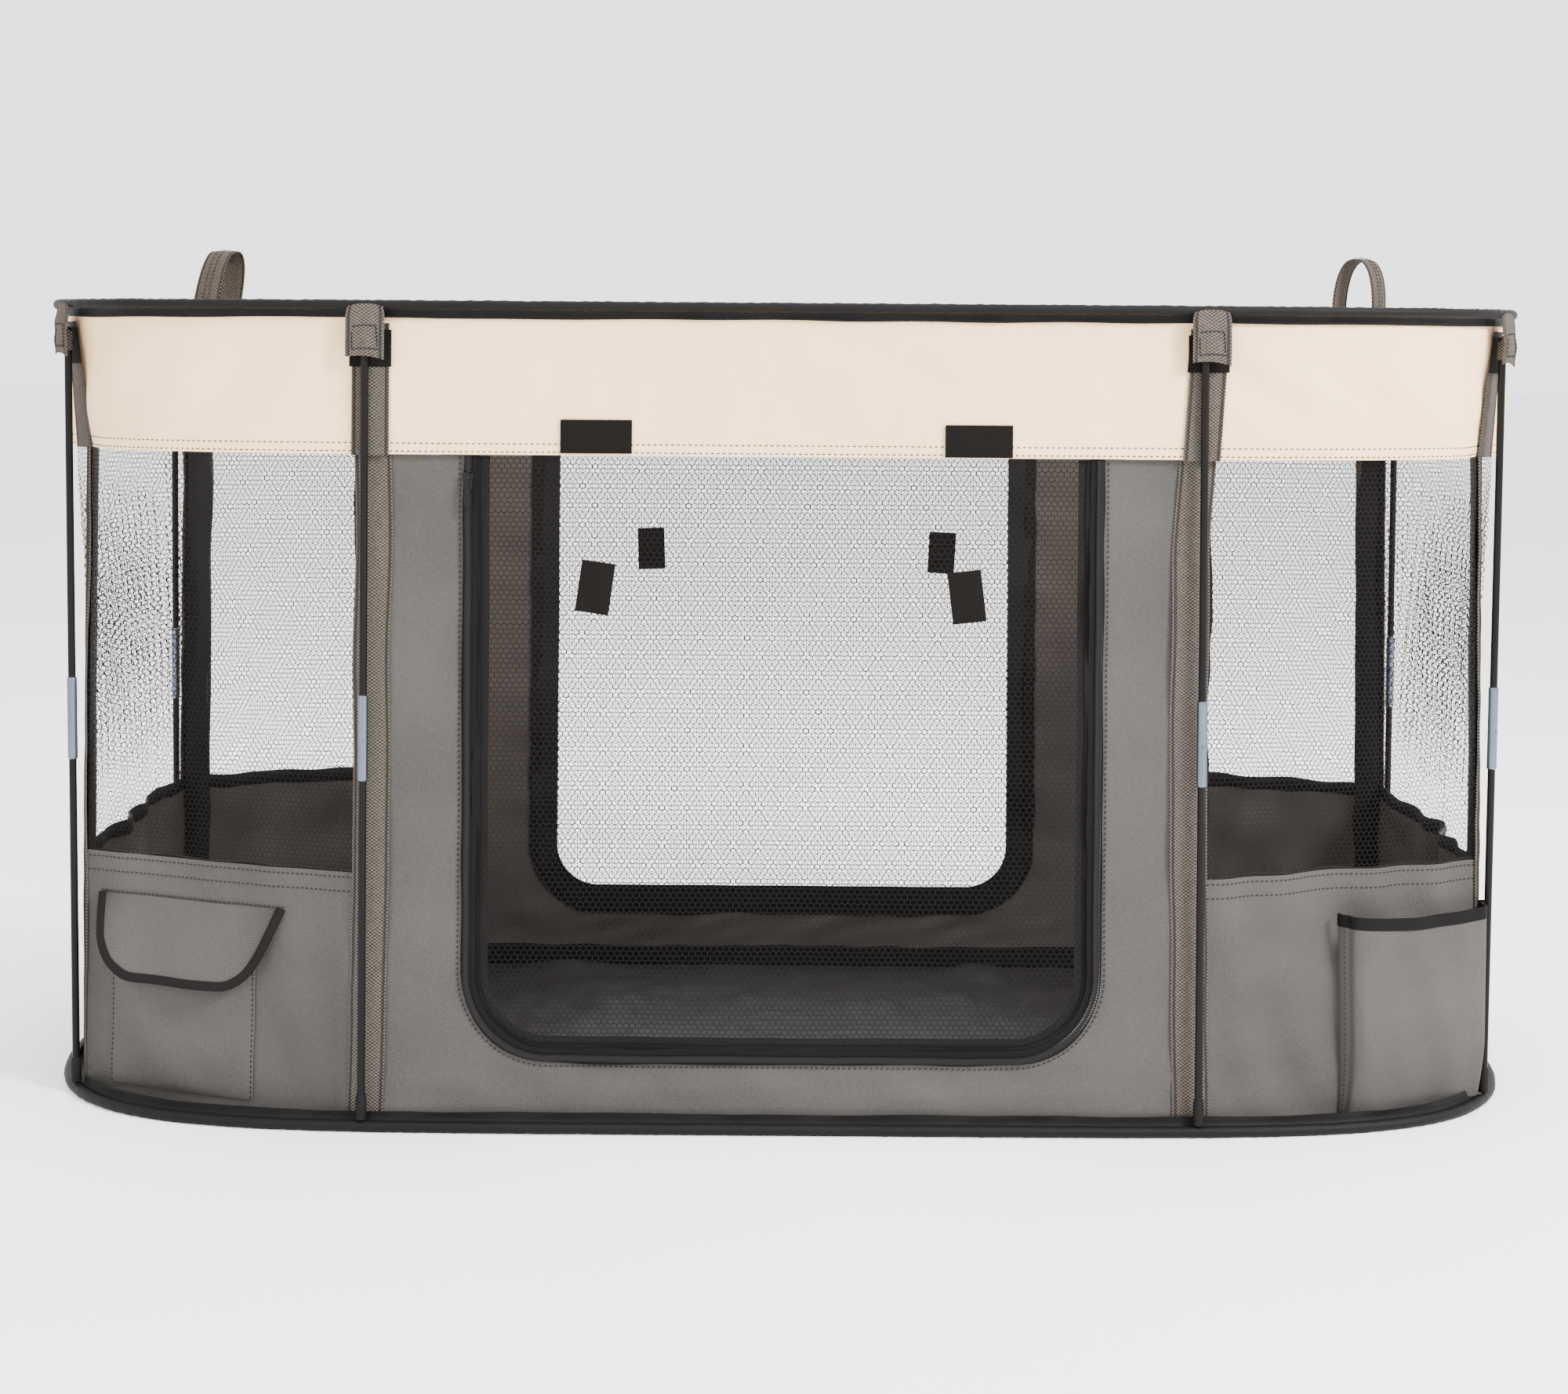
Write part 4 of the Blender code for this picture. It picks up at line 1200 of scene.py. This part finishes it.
def corner_line(k, shift, z, out, radius=0.004):
    """Points round the wall's corner k at signed distances shift from it, with the corner rounded."""
    shift, z, out = (np.array(a, float) for a in np.broadcast_arrays(shift, z, out))
    spot, first, second = corner_xy(k, z)
    turn = np.arctan2(
        first[:, 0] * second[:, 1] - first[:, 1] * second[:, 0], (first * second).sum(1)
    )
    length = radius * turn
    back = radius * np.tan(turn / 2)
    share = np.clip(shift / length + 0.5, 0, 1)
    angle = share * turn
    first_out = np.stack([first[:, 1], -first[:, 0]], axis=-1)
    cos, sin = np.cos(angle)[:, None], np.sin(angle)[:, None]
    outward = first_out * cos + first * sin
    centre = spot - first * back[:, None] - first_out * radius
    rim = centre + outward * radius
    rim = rim + first * np.minimum(shift + length / 2, 0)[:, None]
    rim = rim + second * np.maximum(shift - length / 2, 0)[:, None]
    return np.column_stack([rim + outward * out[:, None], z])


# How far each strap lies to the side of its post, in metres, at these heights
STRAP_HEIGHTS = (0.02, 0.20, 0.45, 0.60)
STRAP_SHIFTS = (
    (-0.001, 0.0030, 0.0035, 0.0035), (-0.0025, -0.0060, -0.0060, 0.0040),
    (0.0125, 0.0125, 0.0125, 0.0105), (0.0100, 0.0100, 0.0100, 0.0080),
    (-0.001, 0.0030, 0.0035, 0.0035), (-0.0025, -0.0060, -0.0060, 0.0040),
    (-0.0100, -0.0100, -0.0100, -0.0080), (-0.0125, -0.0125, -0.0125, -0.0105),
)
STRAP_TOP_Z = 0.6215
STRAP_PATCH = (0.0325, 0.0285)
STRAP_PATCH_Z = 0.5880
# How far the inner bindings lie to the side of their corners
BINDING_SHIFTS = (0.0, 0.0, 0.0115, 0.0100, 0.0, 0.0, -0.0100, -0.0115)


def strap(k):
    """Webbing outside the seam by post k, in a lower length and a short upper one on the band."""
    name = POST_NAMES[k]
    half = STRAP_WIDTH / 2
    sideways = STRAP_SHIFTS[k]

    def lower(over, up):
        z = 0.0105 + (SEAM_Z - 0.0005 - 0.0105) * up
        sway = np.interp(z, STRAP_HEIGHTS, sideways) + 0.0010 * rumple(z, 0 * z, 300 + k, 0.16)
        curl = 0.0003 * rumple(z, over * 0.01, 310 + k, 0.04)
        return corner_line(k, (over - 0.5) * 2 * half + sway, z, 0.0020 + curl)

    flat = (STRAP_WIDTH, 0.509)
    piece = cloth(f"{name}_strap", 14, 120, lower, flat, WEBBING, WEBBING_THICKNESS)
    swap_map(piece)
    settle(piece, "pen", "grey_webbing", fold="wall")

    def on_band(along, z, out):
        """A spot on the band beside this post."""
        turn = POST_TURNS[k] + (along + np.interp(z, STRAP_HEIGHTS, sideways)) / PERIMETER
        up = (z - SEAM_Z) / (BAND_TOP_Z - SEAM_Z)
        return np.column_stack([ring_line(turn, TOP_RING_Z, band_out(turn, up) + out)[0], z])

    def upper(over, up):
        z = SEAM_Z - 0.0010 + (STRAP_TOP_Z - SEAM_Z + 0.0010) * up
        return on_band((over - 0.5) * 2 * half, z, 0.0026 + 0 * z)

    flat = (STRAP_WIDTH, 0.1015)
    piece = cloth(f"{name}_upper_strap", 12, 26, upper, flat, WEBBING, WEBBING_THICKNESS)
    swap_map(piece)
    settle(piece, "top_ring", "grey_webbing")
    wide, high = STRAP_PATCH
    patch = cloth(
        f"{name}_strap_patch", 18, 24,
        lambda over, up: on_band((over - 0.5) * wide, STRAP_PATCH_Z + high * up, 0.0033 + 0 * up),
        STRAP_PATCH, HOOK, 0.0006,
    )
    settle(patch, "top_ring", "black_cloth")

    def inner(over, up):
        z = 0.012 + (SEAM_Z + 0.060 - 0.012) * up
        wave = 0.0026 * rumple(z, 0 * z, 320 + k, 0.13) - BINDING_SHIFTS[k]
        reach = (over - 0.5) * (0.024 + 0.0015 * rumple(z, 0 * z, 330 + k, 0.05))
        bulge = 0.0014 * (1 - (2 * over - 1) ** 2)
        return corner_line(k, -(reach + wave), z, -0.0022 - bulge)

    binding = cloth(f"{name}_seam_binding", 8, 130, inner, (0.024, 0.569), NYLON, 0.0006)
    settle(binding, "pen", "black_cloth", fold="wall")


def swap_map(piece):
    """Turns the cloth map so that its first direction runs along the webbing and its second across."""
    for entry in piece.data.uv_layers.active.data:
        entry.uv = (entry.uv[1], entry.uv[0])


for number in range(8):
    strap(number)


# ---------------------------------------------------------------- posts


def post_matrix(k):
    """Carries a piece made upright at the origin to post k's foot, leaning as the post leans."""
    foot = Vector((*post_xy(k, np.array([FOOT_Z]))[0], FOOT_Z))
    top = Vector((*post_xy(k, np.array([POST_TOP_Z]))[0], POST_TOP_Z))
    lean = (top - foot).normalized().to_track_quat("Z", "Y")
    return Matrix.Translation(foot) @ lean.to_matrix().to_4x4()


def turned_piece(name, profile, finish, sides=28):
    """A round piece spun from (radius, height) points, closed at both ends."""
    turns = np.linspace(0, 2 * math.pi, sides, endpoint=False)
    points = [(r * math.cos(a), r * math.sin(a), z) for r, z in profile for a in turns]
    faces = []
    for row in range(len(profile) - 1):
        for i in range(sides):
            j = (i + 1) % sides
            low, high = row * sides, (row + 1) * sides
            faces.append((low + i, low + j, high + j, high + i))
    faces.append(tuple(range(sides))[::-1])
    faces.append(tuple((len(profile) - 1) * sides + i for i in range(sides)))
    piece = new_mesh(name, points, faces)
    paint(piece, finish)
    smooth(piece, 35)
    return piece


def dimple(piece, height, depth, reach):
    """Pushes in a crimp mark on the +Y and -Y sides at this height."""
    for v in piece.data.vertices:
        if abs(v.co.x) < reach and abs(v.co.z - height) < reach:
            away = math.hypot(v.co.x, v.co.z - height) / reach
            if away < 1:
                v.co.y -= math.copysign(depth * math.cos(away * math.pi / 2) ** 2, v.co.y)


ROD_JOINT_Z = 0.303
FERRULE_Z = (0.270, 0.336)


def post_masters():
    """One of each round piece of a post, upright with the foot at the origin."""
    joint = ROD_JOINT_Z - FOOT_Z
    top = POST_TOP_Z - FOOT_Z
    rod = [(0.0012, 0.020), (0.0030, 0.020), (0.0030, joint - 0.001), (0.0012, joint - 0.0008)]
    lower = turned_piece("lower_rod_master", rod, GLASS_ROD)
    rod = [(0.0012, joint + 0.0008), (0.0030, joint + 0.001), (0.0030, top - 0.0012), (0.0020, top)]
    upper = turned_piece("upper_rod_master", rod, GLASS_ROD)
    cap = [
        (0.0030, 0.0), (0.0040, 0.0006), (0.0043, 0.0018), (0.0042, 0.0150), (0.0038, 0.0185),
        (0.0033, 0.0200), (0.0012, 0.0200),
    ]
    cap = turned_piece("foot_cap_master", cap, RUBBER)
    low, high = (z - FOOT_Z for z in FERRULE_Z)
    rows = [(0.0032, low), (0.0037, low + 0.0004), (0.0039, low + 0.0012)]
    rows += [(0.0039, float(z)) for z in np.linspace(low + 0.004, high - 0.004, 40)]
    rows += [(0.0039, high - 0.0012), (0.0037, high - 0.0004), (0.0032, high)]
    ferrule = turned_piece("ferrule_master", rows, ZINC, 36)
    dimple(ferrule, joint, 0.0008, 0.0030)
    return {"lower": lower, "upper": upper, "cap": cap, "ferrule": ferrule}


MASTERS = post_masters()


def post(k):
    name = POST_NAMES[k]
    carried = post_matrix(k)
    slots = {"lower": "glass_fibre", "upper": "glass_fibre", "cap": "glass_fibre", "ferrule": "zinc_steel"}
    nodes = {"lower": [f"{name}_rod"], "ferrule": [f"{name}_ferrule"]}
    for part, master in MASTERS.items():
        piece = master.copy()
        piece.data = master.data.copy()
        piece.name = piece.data.name = f"{name}_post_{part}"
        bpy.context.scene.collection.objects.link(piece)
        piece.data.transform(carried)
        settle(piece, f"{name}_pole", slots[part], *nodes.get(part, ()))
    tab(k)


TAB_SHIFTS = (0.0010, 0.0040, 0.0, 0.0, 0.0010, 0.0040, 0.0, 0.0)


# Lengths of the tab's front and back layers
TAB_DROPS = {True: 0.0410, False: 0.0385}
TAB_HALF = 0.0148


def tab(k):
    """The webbing tab under the ring: two layers sewn together at the sides round the rod's top end."""
    name = POST_NAMES[k]

    def lie(front, over, down, out=0.0):
        """A spot on the front or back layer, at shares across and down it."""
        drop = TAB_DROPS[front]
        shift = (over - 0.5) * 2
        up = 0.0008 - 0.0020 * shift**2 - (drop - 0.0022 * (1 - over)) * down
        narrow = TAB_HALF * (1 - 0.10 * np.clip(1 - down * 5, 0, 1) ** 2)
        hug = np.exp(-(shift * TAB_HALF / 0.0052) ** 2) * np.clip(down * 3 - 0.9, 0, 1)
        rest = 0.0047 + 0.0022 * np.sin(math.pi * np.clip(down * 0.8, 0, 1))
        rest = rest + 0.0006 * hug if front else rest - 0.0012 - (rest + 0.0034) * hug
        bent = 0.0004 * rumple(shift, down * 2, 350 + k, 1.0)
        turn = POST_TURNS[k] + (shift * narrow + TAB_SHIFTS[k]) / PERIMETER
        return np.column_stack([ring_line(turn, TOP_RING_Z, rest + bent + out)[0], TOP_RING_Z + up])

    def layer(front):
        side = "outer" if front else "inner"
        flat = (2 * TAB_HALF, TAB_DROPS[front])

        def place(over, up):
            return lie(front, over if front else 1 - over, 1 - up)

        return cloth(f"{name}_tab_{side}", 24, 30, place, flat, WEBBING, WEBBING_THICKNESS)

    pieces = [layer(True), layer(False)]
    for piece in pieces:
        swap_map(piece)
    settle(pieces[0], f"{name}_pole", "grey_webbing", f"{name}_top_tab")
    settle(pieces[1], f"{name}_pole", "grey_webbing")
    corners = ((0.17, 0.43), (0.80, 0.40), (0.84, 0.84), (0.18, 0.87), (0.17, 0.43))
    sides = [np.linspace(a, b, 12, endpoint=False) for a, b in zip(corners, corners[1:])]
    over, down = np.concatenate(sides).T
    spots = lie(True, over, down, 0.0002)
    face = lie(True, over, down, 0.0012) - spots
    row = stitches(f"{name}_tab_box_stitch", spots, face, DARK_THREAD, 0.0032)
    settle(row, f"{name}_pole", "grey_webbing")


for number in range(8):
    post(number)
for master in MASTERS.values():
    bpy.data.objects.remove(master)


# ---------------------------------------------------------------- carrying loops


LOOP_SPOTS = {
    "left": ((-0.540, 0.203), (0.42, 0.90), 0.018, (0.008, 0.0)),
    "right": ((0.543, 0.198), (-0.78, 0.62), 0.021, (0.002, 0.0)),
}


LOOP_RISE = 0.0525
LOOP_FOOT_Z = 0.6385
LOOP_STITCHES_OUT = 0.0030


def carrying_loop(side):
    """A loop of webbing that stands on the rim, both ends sewn down on the sleeve."""
    middle, along, half, lean = LOOP_SPOTS[side]
    along = unit(np.array([*along, 0.0]))
    outward = np.array([along[1], -along[0], 0.0])
    if outward[0] * middle[0] < 0:
        along, outward = -along, -outward
    turn = np.linspace(0, math.pi, 44)
    across = -half * np.sign(np.cos(turn)) * np.abs(np.cos(turn)) ** 0.80
    rise = LOOP_RISE * np.sin(turn) ** 0.85
    path = np.array([*middle, 0.0]) + along * across[:, None]
    path = path + np.array([*lean, 0.0]) * (rise / LOOP_RISE)[:, None]
    path[:, 2] = LOOP_FOOT_Z + rise
    face = along * (-np.cos(turn))[:, None] + np.array([0, 0, 1.0]) * np.sin(turn)[:, None]
    piece = ribbon(
        f"{side}_carrying_loop", path, face, 0.0280, WEBBING, 0.0012, across=10, crown=0.0006
    )
    settle(piece, f"{side}_handle", "grey_webbing", f"{side}_handle")
    for number, offset in enumerate((-LOOP_STITCHES_OUT, LOOP_STITCHES_OUT)):
        line = path + outward * offset + unit(face) * 0.0014
        row = stitches(f"{side}_loop_stitch_row_{number}", line, face, DARK_THREAD, 0.0036)
        settle(row, f"{side}_handle", "grey_webbing")


carrying_loop("left")
carrying_loop("right")


# ---------------------------------------------------------------- pockets


def cargo_pocket():
    """A flat sewn pocket, slightly full in the middle, with stitched side seams."""
    k, start, wide = 7, 0.028, 0.134
    width = panel_width(k)
    low, high = 0.013, 0.128

    def place(over, up):
        along = start + wide * over - width / 2
        z = low + (high - low) * up
        full = np.sin(math.pi * over) ** 0.6 * np.clip(up * 3, 0, 1) ** 0.5
        out = 0.0016 + 0.0052 * full + 0.0006 * rumple(along, z, 401, 0.05) * full
        return lower_at(k, along, z, out)

    flat = (wide, high - low)
    piece = cloth("cargo_pocket_cloth", 44, 36, place, flat, GREY, WALL_CLOTH, inside=LINING)
    settle(piece, "pen", "grey_cloth", "cargo_pocket")
    for number, over in enumerate((0.012, 0.988)):
        up = np.linspace(0, 1, 60)
        path = place(np.full(60, over), up)
        along = np.full(60, start + wide * over - width / 2)
        face = lower_at(k, along, low + (high - low) * up, 0.01) - path
        row = stitches(f"cargo_seam_stitch_{number}", path, face, GREY_THREAD)
        settle(row, "pen", "grey_cloth")
    cargo_flap(k, start + wide / 2 + 0.007, width)


def lower_at(k, along, z, out):
    """A point outside the lower wall, on the same eased surface, at a distance from panel k's middle."""
    along, z, out = (np.array(a, float) for a in np.broadcast_arrays(along, z, out))
    return lower_wall_place(k + 0.5 + along / panel_width(k), z, out)


FLAP_SIZE = (0.170, 0.0615)


def cargo_flap(k, middle, width):
    """The pocket's flap: cut like a shallow tray, bound with black tape round its sides and lower edge."""
    top_z, low_z = 0.1640, 0.1030
    rim = np.array([
        (-0.083, top_z), (-0.082, 0.150), (-0.078, 0.128), (-0.067, 0.112), (-0.048, low_z),
        (0.044, low_z), (0.058, 0.112), (0.068, 0.128), (0.078, 0.150), (0.083, top_z),
    ])
    run = distances(rim)
    last = 90
    at = np.linspace(0, run[-1], last + 1)
    smooth_rim = np.column_stack([np.interp(at, run, rim[:, i]) for i in range(2)])
    for _ in range(6):
        smooth_rim[1:-1] = (smooth_rim[:-2] + smooth_rim[1:-1] * 2 + smooth_rim[2:]) / 4
    edge_x, edge_z = smooth_rim.T

    def lifted(x, z):
        """How far out the flap hangs: it leans out and droops at its free edge."""
        drop = np.clip((top_z - z) / (top_z - low_z), 0, 1)
        flare = 0.0040 * np.clip(-x / 0.085, 0, 1) ** 2 * drop
        return 0.0024 + 0.0145 * drop**1.1 + flare + 0.0012 * np.sin(x * 60 + 1) * drop

    def surface(x, z):
        return lower_at(k, middle + x - width / 2, z, lifted(x, z))

    def place(over, up):
        at = over * last
        x_edge = np.interp(at, np.arange(last + 1), edge_x)
        z_edge = np.interp(at, np.arange(last + 1), edge_z)
        x_top = -0.083 + 0.166 * over
        x = x_edge * (1 - up) + x_top * up
        z = z_edge * (1 - up) + top_z * up
        return surface(x, z)

    piece = cloth("cargo_flap_cloth", last, 20, place, FLAP_SIZE, GREY, 0.0008, inside=LINING)
    weld(piece, 0.00005)
    settle(piece, "flap", "grey_cloth", "cargo_pocket_flap")
    spots = surface(edge_x, edge_z)
    over = surface(edge_x, edge_z + 0.001) - spots
    side = surface(edge_x + 0.001, edge_z) - spots
    face = np.cross(side, over)
    binding = swept(
        "cargo_flap_binding", spots, face,
        [
            (0.0036, 0.0006), (0.0028, 0.0013), (-0.0028, 0.0013), (-0.0036, 0.0006),
            (-0.0036, -0.0010), (-0.0028, -0.0017), (0.0028, -0.0017), (0.0036, -0.0010),
        ],
        TAPE,
    )
    settle(binding, "flap", "black_cloth")
    along = middle + np.linspace(-0.086, 0.086, 80) - width / 2
    seam_z = top_z + 0.0012
    spots = lower_at(k, along, seam_z, 0.0012)
    face = lower_at(k, along, seam_z, 0.0022) - spots
    seam = stitches("cargo_flap_seam_stitch", spots, face, GREY_THREAD)
    settle(seam, "pen", "grey_cloth")


def open_pocket():
    """A gusseted pocket: a full front, two pleated sides, and black binding round its open mouth."""
    k, start, wide = 1, 0.124, 0.134
    width = panel_width(k)
    low, high = 0.008, 0.162
    depth = 0.0235
    profile = [
        (0.0, 0.0012), (-0.0006, 0.005), (0.0005, 0.009), (0.0030, 0.0115), (0.0035, 0.0135),
        (0.0032, 0.016), (0.0048, 0.0195), (0.0090, 0.0222), (0.0150, 0.0233),
    ]
    profile += [(x, depth) for x in np.linspace(0.024, wide - 0.024, 10)]
    profile += [(wide - x, o) for x, o in profile[:9][::-1]]
    profile = np.array(profile)
    run = distances(profile)

    def place(over, up):
        at = over * run[-1]
        x, out = np.interp(at, run, profile[:, 0]), np.interp(at, run, profile[:, 1])
        z = low + (high - low) * up
        middle = np.sin(math.pi * np.clip((x - 0.006) / (wide - 0.012), 0, 1))
        z = z - 0.0035 * middle * np.clip(up - 0.8, 0, 1) * 5
        front = np.clip((out - depth * 0.9) / (depth * 0.1), 0, 1)
        ease = 0.0024 * rumple(x, z * 0.6, 411, 0.06) * front - 0.0012 * middle * front * up
        gather = np.clip(1 - up * 3.2, 0, 1) ** 1.5
        out = out * (1 - 0.45 * gather) + ease
        return open_at(k, start + x - width / 2, z, np.maximum(out, 0.0012))

    flat = (float(run[-1]), high - low)
    piece = cloth("open_pocket_cloth", 110, 44, place, flat, GREY, WALL_CLOTH, inside=LINING)
    settle(piece, "pen", "grey_cloth", "open_pocket")

    def bottom_place(over, up):
        along = start + 0.002 + (wide - 0.004) * over - width / 2
        out = 0.0012 + (depth * 0.53 - 0.0012) * up
        return open_at(k, along, low + 0.0015 + 0 * up, out)

    bottom = cloth(
        "open_pocket_bottom", 20, 6, bottom_place, (wide, depth), GREY, WALL_CLOTH, inside=LINING
    )
    settle(bottom, "pen", "grey_cloth")
    over = np.linspace(0, 1, 140)
    spots = place(over, np.full(140, 0.975))
    ahead = np.gradient(spots, axis=0)
    face = np.cross(ahead, np.array([0, 0, 1.0]))
    spots = spots + unit(face) * 0.0006
    binding = ribbon("open_pocket_binding", spots, face, 0.0095, TAPE, 0.0022, across=4)
    settle(binding, "pen", "black_cloth")
    up = np.linspace(0, 0.95, 60)
    corner_row = place(np.full(60, run[2] / run[-1]), up)
    along, z = np.full(60, start - width / 2), low + (high - low) * up
    face = open_at(k, along, z, 0.5) - open_at(k, along, z, 0.0)
    corner_row = corner_row + unit(face) * 0.0002
    row = stitches("open_pocket_edge_stitch", corner_row, face, GREY_THREAD)
    settle(row, "pen", "grey_cloth")


def open_at(k, along, z, out):
    """A point outside the flat wall at a distance from panel k's middle, without the cloth's slack."""
    along, z, out = (np.array(a, float) for a in np.broadcast_arrays(along, z, out))
    return wall(k + 0.5 + along / panel_width(k), z, out)


cargo_pocket()
open_pocket()

bpy.data.objects.remove(STITCH)


# ---------------------------------------------------------------- studio


def studio():
    bpy.ops.object.select_all(action="DESELECT")
    bpy.ops.mesh.primitive_plane_add(size=60, location=(0, 0, -0.0004))
    ground = bpy.context.object
    ground.name = "studio_floor"
    paint(ground, grained("white_paper", "F4F4F4", "F8F8F8", 0.9, 4.0, 0.0, specular=0.1))
    world = bpy.data.worlds.new("studio_world")
    bpy.context.scene.world = world
    world.use_nodes = True
    world.node_tree.nodes["Background"].inputs[0].default_value = (1, 1, 1, 1)
    world.node_tree.nodes["Background"].inputs[1].default_value = 2.6
    lamps = (
        ("key", (2.2, -2.1, 2.3), 0.9, 300),
        ("fill", (-2.0, -3.0, 1.5), 2.0, 60),
        ("top", (0.0, 0.3, 3.0), 2.5, 70),
    )
    for name, spot, size, power in lamps:
        lamp = bpy.data.lights.new(f"{name}_lamp", "AREA")
        lamp.size = size
        lamp.energy = power
        holder = bpy.data.objects.new(f"{name}_lamp", lamp)
        bpy.context.scene.collection.objects.link(holder)
        holder.location = spot
        aim = Vector((0, 0, 0.3)) - Vector(spot)
        holder.rotation_euler = aim.to_track_quat("-Z", "Y").to_euler()


CAMERA_DISTANCE = 2.25
CAMERA_HEIGHT = 0.611
CAMERA_TILT = 0.5
CAMERA_ROLL = 0.42
LENS = 59.3
SHIFT = (-0.0007, -0.2135)


def camera():
    lens = bpy.data.cameras.new("camera")
    lens.lens = LENS
    lens.sensor_width = 36.0
    lens.shift_x, lens.shift_y = SHIFT
    lens.clip_start = 0.01
    eye = bpy.data.objects.new("camera", lens)
    bpy.context.scene.collection.objects.link(eye)
    eye.location = (0.0, -CAMERA_DISTANCE, CAMERA_HEIGHT)
    level = Matrix.Rotation(math.radians(90 - CAMERA_TILT), 4, "X")
    rolled = Matrix.Rotation(math.radians(CAMERA_ROLL), 4, "Z")
    eye.rotation_euler = (level @ rolled).to_euler()
    bpy.context.scene.camera = eye


studio()
camera()

bpy.context.view_layer.update()
